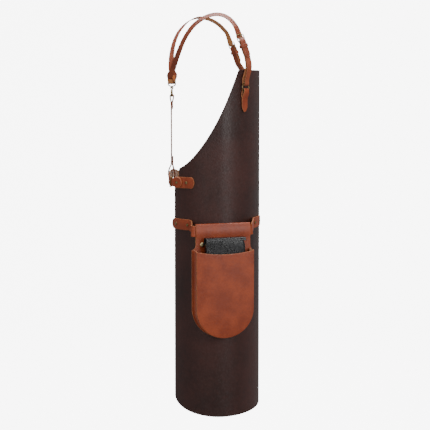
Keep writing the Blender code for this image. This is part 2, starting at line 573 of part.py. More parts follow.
def suspension(name, buckle_at, down, out_hint, over, over_side, chest_mid, sign):
    """One side's straps. over: shoulder path from the buckle to the nape."""
    down = np.array(down) / np.linalg.norm(down)
    out = np.array(out_hint, float)
    out -= down * (out @ down)
    out /= np.linalg.norm(out)
    across = np.cross(down, out)
    buckle_at = np.array(buckle_at)
    base, r_out, r_across, r_centre = ring_frames[name]
    if r_across @ across < 0:
        r_across = -r_across

    def at(n, up, w=0.0):
        return buckle_at + out * n - down * up + across * w

    frame = Matrix((Vector(across), Vector(-out), Vector(-down))).transposed().to_4x4()
    if frame.determinant() < 0:
        frame = Matrix((Vector(-across), Vector(-out), Vector(-down))).transposed().to_4x4()
    heel = Matrix.Translation(Vector(at(0.0, HEEL))) @ frame
    half_w = STRAP_W / 2 + 0.0008 + BAR_R
    c = 0.0022
    shape = [(half_w - c, 0), (half_w, c), (half_w, FAR - HEEL - c), (half_w - c, FAR - HEEL),
             (c - half_w, FAR - HEEL), (-half_w, FAR - HEEL - c), (-half_w, c), (c - half_w, 0)]
    wire("buckle_frame_" + name, [(x, 0.0, z) for x, z in shape], BAR_R, BRASS, True, heel)
    curl = BAR_R + GAP + PRONG_R
    turn = [(-curl * np.cos(a), curl * np.sin(a)) for a in np.linspace(radians(-150), radians(90), 13)]
    turn = [(-z, n) for z, n in turn]
    prong = [(0.0, -n, -z) for z, n in turn] + [(0.0, -curl, 0.007), (0.0, -curl, 0.0140), (0.0, -curl, 0.0212)]
    wire("buckle_prong_" + name, prong, PRONG_R, BRASS, False, heel)

    # The shoulder strap: tail, over the heel bar, behind the far bar, over the shoulder.
    tail_n = loop_r + CHEST_T / 2 + LAID_GAP + STRAP_T / 2
    behind = -(BAR_R + GAP + STRAP_T / 2)
    head = [at(tail_n, HEEL - 0.043), at(tail_n, HEEL - 0.034), at(tail_n, HEEL - 0.024),
            at(tail_n, HEEL - 0.012), at(tail_n, HEEL - 0.0015), at(tail_n * 0.62, HEEL + 0.0055),
            at(behind * 0.45, HEEL + 0.0115), at(behind, HEEL + 0.0172), at(behind, FAR + 0.006)]
    over = [np.array(p) for p in over]
    # At the nape the right strap goes under the bow's bar, and the left one laps over it.
    inner = BOW_R + LAID_GAP + STRAP_T / 2
    if sign > 0:
        bend, down_in = inner, [(-0.0105, 0.0150), (-0.0050, 0.0060)]
        up = [(0.0041, 0.0060), (0.0048, 0.0120), (0.0056, 0.0175)]
    else:
        bend, down_in = inner + STRAP_T + 0.0008, [(-0.0130, 0.0180), (-0.0086, 0.0075)]
        up = [(0.0078, 0.0030), (0.0092, 0.0065)]
    arc = [(-bend * np.cos(a), -bend * np.sin(a)) for a in np.linspace(0, pi, 9)]
    nape = [BOW_AT + BOW_CROSS * (sign * c) + np.array([0.0, 0.0, up_z]) for c, up_z in down_in + arc + up]
    main = smooth_path(head + over + nape, 118)
    sides = [across * sign] * len(head) + [np.array(s, float) for s in over_side]
    sides += [-sign * BOW_BAR] * len(nape)
    knots = np.array(head + over + nape)
    run = np.concatenate([[0], np.cumsum(np.linalg.norm(np.diff(knots, axis=0), axis=1))])
    step = np.concatenate([[0], np.cumsum(np.linalg.norm(np.diff(main, axis=0), axis=1))])
    step = step / step[-1] * run[-1]
    sides = np.stack([np.interp(step, run, np.array(sides)[:, k]) for k in range(3)], axis=1)
    strap = strip("shoulder_strap_" + name, main, sides, STRAP_W, STRAP_T, STRAP, rows=2, ends=(0.005, 0.0))
    mesh = bpy.data.meshes.new("prong_slot_" + name)
    bm = bmesh.new()
    bmesh.ops.create_cube(bm, size=1.0)
    bmesh.ops.scale(bm, vec=(2 * PRONG_R + 0.0008, 0.030, 0.0180), verts=bm.verts)
    bmesh.ops.translate(bm, vec=(0.0, 0.0, 0.0055), verts=bm.verts)
    bm.to_mesh(mesh)
    bm.free()
    slot = place("prong_slot_" + name, mesh, None, heel, home=cutters)
    slot.display_type = "WIRE"
    cut_with(strap, slot)

    # The chest strap: one flat loop from the heel bar to the bib ring.
    top = at(0.0, HEEL)
    ring_top = r_centre + np.array([0.0, 0.0, RING_R * 0.66])
    centre = smooth_path([top, at(0.0, HEEL - 0.016), at(0.0, HEEL - 0.032), at(0.0, HEEL - 0.048), *[np.array(p) for p in chest_mid],
                          ring_top + np.array([0.0, 0.0, 0.014]), ring_top], 34)
    f = np.linspace(0.0, 1.0, 34)[:, None]
    ease = np.clip((f - 0.45) / 0.45, 0.0, 1.0)
    ease = ease * ease * (3 - 2 * ease)
    wide = across * (1 - ease) + r_across * ease
    wide = square_to(centre, wide)
    along = np.gradient(centre, axis=0)
    along /= np.linalg.norm(along, axis=1)[:, None]
    normal = np.cross(wide, along)
    normal *= np.sign((normal @ out))[:, None]
    spread = loop_r + (0.0050 - loop_r) * np.clip((f - 0.42) / 0.45, 0.0, 1.0)
    lead = centre + normal * spread
    back = centre - normal * spread
    turn_top = [top + out * loop_r * np.cos(a) - down * loop_r * np.sin(a) for a in np.linspace(0, pi, 9)[1:-1]]
    wide_r = spread[-1, 0]
    turn_low = [ring_top - normal[-1] * wide_r * np.cos(a) + along[-1] * wide_r * 0.75 * np.sin(a)
                for a in np.linspace(0, pi, 9)[1:-1]]
    loop = np.vstack([back, turn_low, lead[::-1], turn_top])
    loop_side = np.vstack([wide, np.tile(wide[-1], (7, 1)), wide[::-1], np.tile(wide[0], (7, 1))])
    chest = strip("chest_strap_" + name, loop, loop_side, 0.0170, CHEST_T, STRAP, rows=2, closed=True)
    mesh = bpy.data.meshes.new("curl_slot_" + name)
    bm = bmesh.new()
    bmesh.ops.create_cube(bm, size=1.0)
    bmesh.ops.scale(bm, vec=(2 * PRONG_R + 0.0008, 0.030, 0.0160), verts=bm.verts)
    bmesh.ops.translate(bm, vec=(0.0, 0.0, 0.0030), verts=bm.verts)
    bm.to_mesh(mesh)
    bm.free()
    slot = place("curl_slot_" + name, mesh, None, heel, home=cutters)
    slot.display_type = "WIRE"
    cut_with(chest, slot)

    # The keeper: a leather band round the tail and both layers of the chest strap.
    inner_n = (-(loop_r + CHEST_T / 2 + 0.0004), tail_n + STRAP_T / 2 + 0.0004)
    t = 0.0014
    hw, lo, hi = STRAP_W / 2 + 0.0005 + t / 2, inner_n[0] - t / 2, inner_n[1] + t / 2
    k = 0.0012
    ringed = [(hw, lo + k), (hw, (lo + hi) / 2), (hw, hi - k), (hw - k, hi), (0, hi), (k - hw, hi), (-hw, hi - k),
              (-hw, (lo + hi) / 2), (-hw, lo + k), (k - hw, lo), (0, lo), (hw - k, lo)]
    keeper_frame = Matrix.Translation(Vector(at(0.0, HEEL - 0.0145))) @ frame
    keeper = np.array([(x, -n, 0.0) for x, n in ringed])
    strip("keeper_" + name, keeper, (0.0, 0.0, 1.0), 0.0085, t, STRAP, keeper_frame, rows=1, closed=True)


suspension(
    "right", (-0.1165, -0.0690, -0.0665), (-0.126, -0.333, -0.933), (-0.80, -0.60, 0.0),
    [(-0.1110, -0.0555, -0.0360), (-0.1080, -0.0425, -0.0180), (-0.1060, -0.0240, -0.0050),
     (-0.1050, 0.0000, 0.0000), (-0.1010, 0.0285, -0.0060), (-0.0940, 0.0549, -0.0215),
     (-0.0860, 0.0744, -0.0394), (-0.0720, 0.0951, -0.0689), (-0.0560, 0.1110, -0.1011),
     (-0.0400, 0.1240, -0.1300), (-0.0235, 0.1345, -0.1550)],
    [(-0.70, 0.60, -0.20), (-0.75, 0.40, -0.40), (-0.80, 0.20, -0.52),
     (-0.82, 0.00, -0.56), (-0.80, -0.12, -0.58), (-0.76, -0.30, -0.58),
     (-0.72, -0.42, -0.55), (-0.68, -0.52, -0.50), (-0.62, -0.64, -0.42),
     (-0.56, -0.76, -0.28), (-0.52, -0.84, -0.12)],
    [(-0.1275, -0.0920, -0.1480)], 1.0)
suspension(
    "left", (0.1260, -0.0290, -0.0780), (0.217, -0.313, -0.925), (0.80, -0.60, 0.0),
    [(0.1190, -0.0145, -0.0430), (0.1150, -0.0040, -0.0300), (0.1100, 0.0118, -0.0150),
     (0.1060, 0.0314, -0.0039), (0.1040, 0.0530, 0.0022), (0.1030, 0.0735, 0.0030),
     (0.0970, 0.0970, -0.0060), (0.0880, 0.1160, -0.0240), (0.0740, 0.1310, -0.0480),
     (0.0580, 0.1410, -0.0800), (0.0380, 0.1450, -0.1200), (0.0230, 0.1430, -0.1520)],
    [(0.75, 0.55, -0.25), (0.80, 0.40, -0.40), (0.84, 0.20, -0.50), (0.86, 0.05, -0.50),
     (0.90, 0.00, -0.40), (0.95, 0.00, -0.20), (0.95, 0.10, 0.10), (0.92, 0.22, 0.30),
     (0.84, 0.38, 0.34), (0.74, 0.56, 0.30), (0.62, 0.74, 0.20), (0.54, 0.83, 0.08)],
    [(0.1468, -0.0540, -0.1430), (0.1458, -0.0738, -0.1715)], -1.0)

# ---- Snap hook at the nape: bow, hook and sprung gate ----
bow = [(0.0112, 0.0), (0.0130, -0.0020), (0.0127, -0.0095), (0.0050, -0.0135), (-0.0050, -0.0135),
       (-0.0127, -0.0095), (-0.0130, -0.0020), (-0.0112, 0.0)]
wire("hook_bow", [BOW_AT + BOW_BAR * along + np.array([0.0, 0.0, up_z]) for along, up_z in bow], BOW_R, BRASS,
     True)
hook_matrix = Matrix.Translation((0.0, HOOK_Y, -0.2060))
lathe("hook_barrel", [(0.0, 0.0036), (0.0046, 0.0036), (0.0052, 0.0030), (0.0052, -0.0008), (0.0046, -0.0016),
                      (0.0, -0.0016)], BRASS, hook_matrix, 20)
shank = smooth_path([(-0.0030, -0.0042), (-0.0100, -0.0050), (-0.0142, -0.0090), (-0.0148, -0.0160),
                     (-0.0130, -0.0212), (-0.0090, -0.0230), (0.0000, -0.0230), (0.0090, -0.0230),
                     (0.0130, -0.0212), (0.0147, -0.0168)], 24)
wire("hook_body", [(x, 0.0, z) for x, z in shank], 0.0022, BRASS, False, hook_matrix, 3)
arm = [(0.0030, 0.0, -0.0042), (0.0080, 0.0, -0.0037), (0.0142, 0.0, -0.0031)]
wire("hook_arm", arm, 0.0018, BRASS, False, hook_matrix, 3)
gate_matrix = Matrix.Translation((0.0136, HOOK_Y, -0.2117))
wire("hook_gate", [(0.0, 0.0, 0.0), (0.0005, 0.0, -0.0050), (0.0010, 0.0, -0.0104)], 0.0016, BRASS, False,
     gate_matrix, 3)

# ---- Back strap from the hook to the waist strap ----
y = HOOK_Y
main_y, tail_y = y + 0.0018, y - 0.0013
zig = [(tail_y, -0.2660), (tail_y, -0.2560), (tail_y - 0.0003, -0.2460), (y - 0.0040, -0.2370)]
zig += [(y - 0.0050 * np.cos(a), HOOK_LOW_Z + 0.0050 * np.sin(a)) for a in np.linspace(0, pi, 9)]
zig += [(y + 0.0046, -0.2370), (main_y + 0.0006, -0.2460), (main_y, -0.2560), (main_y, -0.2700),
        (main_y, -0.3000), (main_y, -0.3400), (main_y, -0.3800), (main_y, -0.4040), (main_y, -0.4200),
        (main_y + 0.0012, -0.4300), (0.1475, -0.4420), (0.1500, -0.4560), (0.1482, -0.4680), (0.1440, -0.4745),
        (0.1400, -0.4755), (0.1360, -0.4735), (0.1325, -0.4660), (0.1315, -0.4560), (0.1345, -0.4420),
        (tail_y - 0.0004, -0.4310), (tail_y, -0.4200), (tail_y, -0.4050)]
back = smooth_path([(0.0, a, b) for a, b in zig], 110)
back_w = np.interp(back[:, 2], [-0.2600, -0.2400], [STRAP_W, 0.0160])
strip("back_strap", back, (1.0, 0.0, 0.0), back_w, 0.0026, STRAP, rows=2)
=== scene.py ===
"""Looks of a long leather butcher apron with bib straps, a nape hook and a holster pocket. Metres, +Z up."""
from math import radians, pi

import bpy
import bmesh
import numpy as np
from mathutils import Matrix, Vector


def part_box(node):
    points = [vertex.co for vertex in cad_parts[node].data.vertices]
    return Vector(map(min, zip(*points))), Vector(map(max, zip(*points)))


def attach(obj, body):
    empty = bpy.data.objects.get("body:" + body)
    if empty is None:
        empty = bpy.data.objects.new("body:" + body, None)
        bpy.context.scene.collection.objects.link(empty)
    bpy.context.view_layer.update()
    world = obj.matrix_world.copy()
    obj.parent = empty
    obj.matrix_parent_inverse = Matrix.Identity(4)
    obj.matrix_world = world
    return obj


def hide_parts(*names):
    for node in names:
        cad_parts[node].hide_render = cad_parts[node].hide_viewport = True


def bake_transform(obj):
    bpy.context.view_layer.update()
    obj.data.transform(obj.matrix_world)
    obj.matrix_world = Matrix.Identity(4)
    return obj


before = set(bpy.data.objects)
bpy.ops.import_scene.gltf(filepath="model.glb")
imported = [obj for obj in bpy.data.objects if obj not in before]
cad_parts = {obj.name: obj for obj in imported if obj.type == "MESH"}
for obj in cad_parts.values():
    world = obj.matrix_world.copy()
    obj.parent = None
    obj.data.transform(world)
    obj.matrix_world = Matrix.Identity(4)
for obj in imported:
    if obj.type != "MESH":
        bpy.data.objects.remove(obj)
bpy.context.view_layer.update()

# ---- Camera ----
# It stands level with the shoulders on the wearer's right and looks a little down.
lens = bpy.data.cameras.new("studio_camera")
lens.lens = 91.1
camera = bpy.data.objects.new("studio_camera", lens)
TURN, DIP = radians(4.5), radians(6.76)
ahead = Vector((np.cos(TURN) * np.cos(DIP), np.sin(TURN) * np.cos(DIP), -np.sin(DIP)))
camera.location = (-3.1901, -0.2389, -0.1997)
camera.rotation_euler = ahead.to_track_quat("-Z", "Y").to_euler()
bpy.context.collection.objects.link(camera)
bpy.context.scene.camera = camera


# ---- Studio ----
# A white paper sweep: a floor that curves up into a wall, well clear of the hanging apron.
# A large soft box at the wearer's right front, a second behind, and an even white room.
def linear(hex_colour):
    """An sRGB hex colour as linear RGBA."""
    c = np.array([int(hex_colour[k:k + 2], 16) for k in (1, 3, 5)]) / 255.0
    return (*np.where(c > 0.04045, ((c + 0.055) / 1.055) ** 2.4, c / 12.92), 1.0)


def node(tree, kind, inputs=None, **settings):
    """Adds a node: settings are its properties, inputs are values or other nodes' outputs."""
    made = tree.nodes.new(kind)
    for key, value in settings.items():
        setattr(made, key, value)
    for key, value in (inputs or {}).items():
        if isinstance(value, bpy.types.NodeSocket):
            tree.links.new(value, made.inputs[key])
        else:
            made.inputs[key].default_value = value
    return made


def surface(name, points, faces, finishes, kinds=None, closed=True):
    """A mesh of quads. Points that coincide are merged, so seams and poles close, and the
    faces of a closed body are turned to point outwards. kinds: each face's finish."""
    mesh = bpy.data.meshes.new(name)
    mesh.from_pydata(np.asarray(points).tolist(), [], np.asarray(faces).tolist())
    for finish in finishes:
        mesh.materials.append(finish)
    if kinds is not None:
        mesh.polygons.foreach_set("material_index", np.asarray(kinds, np.int32))
    bm = bmesh.new()
    bm.from_mesh(mesh)
    bmesh.ops.remove_doubles(bm, verts=bm.verts, dist=1e-6)
    if closed:
        bmesh.ops.recalc_face_normals(bm, faces=bm.faces)
    bm.to_mesh(mesh)
    bm.free()
    mesh.polygons.foreach_set("use_smooth", np.ones(len(mesh.polygons), bool))
    obj = bpy.data.objects.new(name, mesh)
    bpy.context.collection.objects.link(obj)
    return obj


def quads(rows, columns):
    """Corner numbers of the faces of a grid that has rows x columns points."""
    k = np.arange(rows * columns).reshape(rows, columns)
    return np.stack([k[:-1, :-1], k[1:, :-1], k[1:, 1:], k[:-1, 1:]], -1).reshape(-1, 4)


paper = bpy.data.materials.new("matt_white_paper")
paper.use_nodes = True
paper_shader = paper.node_tree.nodes["Principled BSDF"]
paper_shader.inputs["Base Color"].default_value = linear("#fcfcfc")
paper_shader.inputs["Roughness"].default_value = 0.9
paper_shader.inputs["Emission Color"].default_value = linear("#ffffff")
paper_shader.inputs["Emission Strength"].default_value = 6.0
SWEEP_LOW, SWEEP_BACK, SWEEP_R = -1.60, 5.0, 2.0
bend = np.linspace(0.0, pi / 2, 25)
run_x = np.concatenate([[-7.0], SWEEP_BACK - SWEEP_R + SWEEP_R * np.sin(bend), [SWEEP_BACK]])
run_z = np.concatenate([[SWEEP_LOW], SWEEP_LOW + SWEEP_R * (1.0 - np.cos(bend)), [5.0]])
sweep = np.stack([np.stack([run_x, np.full_like(run_x, y), run_z], -1) for y in (-8.0, 8.0)], 1)
floor = surface("paper_sweep", sweep.reshape(-1, 3), quads(len(run_x), 2)[:, ::-1], [paper], closed=False)
# The lit paper stays out of the leather's reflections, as a far wall would.
floor.visible_diffuse = floor.visible_glossy = False

room = bpy.data.worlds.new("white_room")
room.use_nodes = True
room.node_tree.nodes["Background"].inputs["Color"].default_value = linear("#ffffff")
room.node_tree.nodes["Background"].inputs["Strength"].default_value = 0.34
bpy.context.scene.world = room
for name, at, aim, size, power in (
        ("front_soft_box", (-2.05, -1.75, 0.05), (-0.16, 0.0, -0.30), (0.9, 1.1), 30.0),
        ("side_fill", (-3.0, 1.2, 0.6), (-0.1, 0.0, -0.6), (2.0, 2.2), 26.0),
        ("top_fill", (-0.8, -0.3, 2.2), (-0.1, 0.0, -0.5), (2.0, 2.0), 34.0),
        ("wall_wash", (1.2, 0.0, 2.6), (4.6, 0.0, -0.4), (4.0, 3.0), 420.0)):
    lamp = bpy.data.lights.new(name, "AREA")
    lamp.shape = "RECTANGLE"
    lamp.size, lamp.size_y = size
    lamp.energy = power
    light = bpy.data.objects.new(name, lamp)
    light.location = at
    light.rotation_euler = (Vector(aim) - Vector(at)).to_track_quat("-Z", "Y").to_euler()
    bpy.context.collection.objects.link(light)


# ---- The hide ----
# One side of dark brown cowhide, cut with a bib, two armholes and round hem corners.
# It wraps from the wearer's front round both sides. The edge is cut clean and left raw.
HIDE_T = 0.0022
low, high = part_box("apron_panel")
FLARE = 0.018
SIDE_A = (high.x - low.x) / 2 / (1.0 + FLARE)
BODY_Y, FRONT_B, REAR_B = 0.003, 0.121, 0.151
WRAP_END, BIB_END = radians(140.3), radians(57.0)
TOP_Z, HEM_Z = high.z, low.z
turn = np.linspace(0.0, radians(178.0), 900)
depth = np.where(turn < pi / 2, FRONT_B, REAR_B)
girth = np.concatenate([[0.0], np.cumsum(np.hypot(
    SIDE_A * np.diff(np.sin(turn)), depth[1:] * np.diff(np.cos(turn))))])
S_END, S_BIB = np.interp([WRAP_END, BIB_END], turn, girth)


def wrap(s, z, out=0.0):
    """A point on the hide: a half-ellipse in front and a deeper one behind, walked by arc
    length s from the front centre (right side positive), widening a little towards the hem,
    and moved square to the surface by out."""
    s, z, out = np.broadcast_arrays(np.asarray(s, float), z, out)
    t = np.interp(np.abs(s), girth, turn)
    b = np.where(t < pi / 2, FRONT_B, REAR_B)
    grow = 1.0 + FLARE * np.clip((TOP_Z - z) / (TOP_Z - HEM_Z), 0.0, 1.0)
    nx, ny = np.sin(t) / SIDE_A, -np.cos(t) / b
    size = np.hypot(nx, ny)
    x = -np.where(s < 0, -1.0, 1.0) * (SIDE_A * np.sin(t) * grow + out * nx / size)
    return np.stack([x, BODY_Y - b * np.cos(t) * grow + out * ny / size, z], axis=-1)


def unit(v):
    """Vectors scaled to length 1."""
    return v / np.maximum(np.linalg.norm(v, axis=-1, keepdims=True), 1e-12)


def skin(name, mid, out, thick, finishes, closed=False, rim=0.3, steps=4):
    """A leather skin on a grid of middle points. The grain face lies half the thickness
    along out and the flesh face as far the other way. Round each outline, a half-ellipse
    that bulges by rim times the thickness joins them. closed: the last row joins the first."""
    out = unit(np.broadcast_to(out, mid.shape))
    across = np.cross(mid[1:, :-1] - mid[:-1, :-1], mid[:-1, 1:] - mid[:-1, :-1])
    if (across * out[:-1, :-1]).sum() < 0:
        mid, out = mid[:, ::-1], out[:, ::-1]
        thick = thick[:, ::-1] if np.ndim(thick) > 1 else thick
    rows, columns = mid.shape[:2]
    half = (np.broadcast_to(np.asarray(thick, float), (rows, columns)) / 2).reshape(-1, 1)
    flat, away_face = mid.reshape(-1, 3), out.reshape(-1, 3)
    ids = np.arange(rows * columns).reshape(rows, columns)
    if closed:
        ids = np.vstack([ids, ids[:1]])
        outlines = [ids[:-1, 0], ids[-1:0:-1, -1]]
    else:
        outlines = [np.concatenate([ids[:-1, 0], ids[-1, :-1], ids[:0:-1, -1], ids[0, :0:-1]])]
    face = np.stack([ids[:-1, :-1], ids[1:, :-1], ids[1:, 1:], ids[:-1, 1:]], -1).reshape(-1, 4)
    count = rows * columns
    points = [flat + away_face * half, flat - away_face * half]
    faces, kinds = [face, face[:, ::-1] + count], [0] * len(face) + [2] * len(face)
    start = 2 * count
    for outline in outlines:
        edge = flat[outline]
        beside = unit(np.cross(np.roll(edge, -1, 0) - np.roll(edge, 1, 0), away_face[outline]))
        rings = [outline]
        for a in np.linspace(pi / 2, -pi / 2, steps + 1)[1:-1]:
            points.append(edge + half[outline] * (away_face[outline] * np.sin(a)
                                                  + 2 * rim * beside * np.cos(a)))
            rings.append(np.arange(start, start + len(outline)))
            start += len(outline)
        rings.append(outline + count)
        for upper, lower in zip(rings, rings[1:]):
            faces.append(np.stack([upper, lower, np.roll(lower, -1), np.roll(upper, -1)], -1))
            kinds += [1] * len(outline)
    return surface(name, np.vstack(points), np.vstack(faces), finishes, kinds)


def leather(name, light, dark, rough, cell_mm, depth_mm, cloud_mm=60.0, fuzz=0.0, gloss=0.5):
    """A leather's surface. Soft clouds take it from dark to light; a net of creases between
    small bent cells, with finer pores on it, is its grain; clouds also vary the shine."""
    made = bpy.data.materials.new(name)
    made.use_nodes = True
    tree = made.node_tree
    shader = tree.nodes["Principled BSDF"]
    place = node(tree, "ShaderNodeTexCoord").outputs["Object"]
    cloud = node(tree, "ShaderNodeTexNoise", {"Vector": place, "Scale": 1000 / cloud_mm, "Detail": 4.0})
    streak = node(tree, "ShaderNodeTexNoise", {"Vector": place, "Scale": 9000 / cloud_mm, "Detail": 3.0})
    both = node(tree, "ShaderNodeMath", {0: streak.outputs["Fac"], 1: 0.35, 2: cloud.outputs["Fac"]},
                operation="MULTIPLY_ADD")
    tone = node(tree, "ShaderNodeMapRange", {"Value": both.outputs[0], "From Min": 0.52, "From Max": 0.84})
    bend = node(tree, "ShaderNodeTexNoise", {"Vector": place, "Scale": 700 / cell_mm, "Detail": 2.0})
    shift = node(tree, "ShaderNodeVectorMath", {0: bend.outputs["Color"], 1: (0.5 * cell_mm / 1000,) * 3,
                                                2: place}, operation="MULTIPLY_ADD")
    net = node(tree, "ShaderNodeTexVoronoi", {"Vector": shift.outputs[0], "Scale": 1000 / cell_mm},
               feature="DISTANCE_TO_EDGE")
    crease = node(tree, "ShaderNodeMapRange", {"Value": net.outputs["Distance"], "From Max": 0.16},
                  interpolation_type="SMOOTHSTEP")
    pores = node(tree, "ShaderNodeTexNoise", {"Vector": place, "Scale": 2600 / cell_mm, "Detail": 3.0})
    height = node(tree, "ShaderNodeMath", {0: pores.outputs["Fac"], 1: 0.7, 2: crease.outputs[0]},
                  operation="MULTIPLY_ADD")
    bump = node(tree, "ShaderNodeBump", {"Strength": 0.8, "Distance": depth_mm / 1000,
                                         "Height": height.outputs[0]})
    shade = node(tree, "ShaderNodeMix", {0: tone.outputs[0], 6: linear(dark), 7: linear(light)},
                 data_type="RGBA")
    # Painted shade: the colour is darkened to 0.82 in the grain's creases, where shade would fall.
    crease_shade = node(tree, "ShaderNodeMapRange", {"Value": crease.outputs[0], "To Min": 0.82, "To Max": 1.0})
    colour = node(tree, "ShaderNodeVectorMath", {0: shade.outputs[2], "Scale": crease_shade.outputs[0]},
                  operation="SCALE")
    shine = node(tree, "ShaderNodeMapRange", {"Value": cloud.outputs["Fac"], "From Min": 0.3, "From Max": 0.7,
                                              "To Min": rough - 0.05, "To Max": rough + 0.07})
    tree.links.new(colour.outputs[0], shader.inputs["Base Color"])
    tree.links.new(shine.outputs[0], shader.inputs["Roughness"])
    tree.links.new(bump.outputs[0], shader.inputs["Normal"])
    shader.inputs["IOR"].default_value = 1.47
    shader.inputs["Specular IOR Level"].default_value = gloss
    shader.inputs["Sheen Weight"].default_value = fuzz
    shader.inputs["Sheen Roughness"].default_value = 0.5
    return made


# Waxed side leather: an even, deep brown that shows broad satin lights and a pebble grain.
# The pebble is 1 to 2 mm on the real skin; it is drawn at 2.4 mm so that it shows.
HIDE = [leather("waxed_side_leather", "#42201a", "#2e1510", 0.42, 2.4, 0.16, 140.0),
        leather("waxed_side_leather_cut", "#452417", "#2c160f", 0.8, 1.2, 0.1, 20.0),
        leather("brushed_dark_suede", "#4a3026", "#35211a", 0.9, 1.6, 0.3, 40.0, fuzz=0.35)]

CORNER_R, ARM_CORNER, HEM_R, HEM_RISE = 0.008, 0.006, 0.160, 0.047
# The armhole runs straight down from the bib's corner, then eases to level at the rear edge.
ARM_TOP_Z, ARM_SLOPE, ARM_STRAIGHT = -0.1620, 0.47, 0.16
# Above the waist tab the rear edge is cut this much narrower, eased in over this run.
TAPER, TAPER_RUN, TAPER_LOW, TAPER_HIGH = 0.022, 0.090, -0.4900, -0.4550


def taper(s, z):
    """Arc length after the cut above the waist tab, a smooth step up in height."""
    ease = np.clip((z - TAPER_LOW) / (TAPER_HIGH - TAPER_LOW), 0.0, 1.0)
    ease = ease * ease * (3 - 2 * ease)
    near_edge = np.clip((np.abs(s) - (S_END - TAPER_RUN)) / TAPER_RUN, 0.0, 1.0)
    return s - np.sign(s) * TAPER * ease * near_edge


def smooth_path(points, stations):
    """A Catmull-Rom curve through the points, read at stations from 0 to 1 of its length."""
    p = np.asarray(points, float)
    ends = np.vstack([2 * p[0] - p[1], p, 2 * p[-1] - p[-2]])
    t = np.linspace(0.0, 1.0, 16, endpoint=False)[:, None]
    dense = [0.5 * (2 * b + (c - a) * t + (2 * a - 5 * b + 4 * c - d) * t**2 + (3 * b - a - 3 * c + d) * t**3)
             for a, b, c, d in zip(ends, ends[1:], ends[2:], ends[3:])]
    dense = np.vstack([*dense, p[-1:]])
    run = np.concatenate([[0], np.cumsum(np.linalg.norm(np.diff(dense, axis=0), axis=1))])
    at = np.asarray(stations) * run[-1]
    return np.stack([np.interp(at, run, dense[:, k]) for k in range(p.shape[1])], axis=1)


bib = np.concatenate([np.linspace(0.0, S_BIB - CORNER_R, 22)[:-1],
                      S_BIB - CORNER_R * np.cos(np.linspace(0, pi / 2, 7))])
skirt = np.linspace(S_BIB, S_END - HEM_R, 34)[1:-1]
rear = S_END - HEM_R * (1.0 - np.sin(np.linspace(0.0, pi / 2, 22)))
half_s = np.concatenate([bib, skirt, rear])
half_s = np.unique(np.round(half_s, 7))
panel_s = np.concatenate([-half_s[:0:-1], half_s])
away = np.abs(panel_s)
reach = np.clip((taper(away, 0.0) - S_BIB) / (S_END - S_BIB), 0.0, 1.0)
curved = np.clip(reach - ARM_STRAIGHT, 0.0, 1.0)
arm_z = ARM_TOP_Z - ARM_SLOPE * (reach - curved**2 / (2 * (1 - ARM_STRAIGHT)))


def quarter(x, radius):
    """How far a quarter circle of this radius has dropped at x from its start."""
    return radius * (1.0 - np.sqrt(1.0 - np.clip(x / radius, 0.0, 1.0) ** 2))


top_z = np.where(away < S_BIB, TOP_Z - quarter(away - S_BIB + CORNER_R, CORNER_R), arm_z)
top_z = top_z - quarter(away - S_END + ARM_CORNER, ARM_CORNER)
hem_z = HEM_Z + quarter(away - S_END + HEM_R, HEM_R) * HEM_RISE / HEM_R
down = np.concatenate([[0.0, 0.002], np.linspace(0.012, 0.988, 90), [0.998, 1.0]])
panel_z = top_z[:, None] * (1 - down) + hem_z[:, None] * down
grid_s = taper(panel_s[:, None], panel_z)
hide_mid = wrap(grid_s, panel_z, -HIDE_T / 2)
hide_out = wrap(grid_s, panel_z, 0.01) - hide_mid
apron_hide = skin("apron_hide", hide_mid, hide_out, HIDE_T, HIDE, rim=0.12)
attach(apron_hide, "apron")
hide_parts("apron_panel")


# ---- Metal studs and rivets ----
# Cast and tumbled brass, darkened and waxed. Each rivet has a domed head outside, a shank
# through the leather and a washer inside; the four on the belt and two at the waist match.
def turned(name, profile, at, axis, finishes, kinds=None, steps=40):
    """A turned piece: the (radius, height) profile, from its top pole to its low one,
    carried round the axis through at."""
    axis = unit(np.asarray(axis, float))
    side = unit(np.cross(axis, (0.0, 0.0, 1.0) if abs(axis[2]) < 0.9 else (1.0, 0.0, 0.0)))
    other = np.cross(axis, side)
    r, h = np.asarray(profile, float).T
    a = np.linspace(0.0, 2 * pi, steps + 1)[:, None]
    points = (np.asarray(at) + r[None, :, None] * (np.cos(a)[..., None] * side + np.sin(a)[..., None] * other)
              + h[None, :, None] * axis)
    face_kinds = None if kinds is None else np.tile(kinds, steps)
    return surface(name, points.reshape(-1, 3), quads(steps + 1, len(r)), finishes, face_kinds)


def metal(name, bright, dull, rough, patina_mm=4.0, dent_mm=0.05):
    """Brass with a patina: it stays bright where clouds of wear are high and goes dull and
    rougher in between. Fine dents from tumbling break up its lights."""
    made = bpy.data.materials.new(name)
    made.use_nodes = True
    tree = made.node_tree
    shader = tree.nodes["Principled BSDF"]
    place = node(tree, "ShaderNodeTexCoord").outputs["Object"]
    cloud = node(tree, "ShaderNodeTexNoise", {"Vector": place, "Scale": 1000 / patina_mm, "Detail": 4.0})
    worn = node(tree, "ShaderNodeMapRange",
                {"Value": cloud.outputs["Fac"], "From Min": 0.38, "From Max": 0.62})
    colour = node(tree, "ShaderNodeMix", {0: worn.outputs[0], 6: linear(dull), 7: linear(bright)},
                  data_type="RGBA")
    shine = node(tree, "ShaderNodeMapRange",
                 {"Value": worn.outputs[0], "To Min": rough + 0.16, "To Max": rough})
    dents = node(tree, "ShaderNodeTexNoise", {"Vector": place, "Scale": 900.0, "Detail": 2.0})
    bump = node(tree, "ShaderNodeBump", {"Strength": 0.4, "Distance": dent_mm / 1000,
                                         "Height": dents.outputs["Fac"]})
    shader.inputs["Metallic"].default_value = 1.0
    tree.links.new(colour.outputs[2], shader.inputs["Base Color"])
    tree.links.new(shine.outputs[0], shader.inputs["Roughness"])
    tree.links.new(bump.outputs[0], shader.inputs["Normal"])
    return made


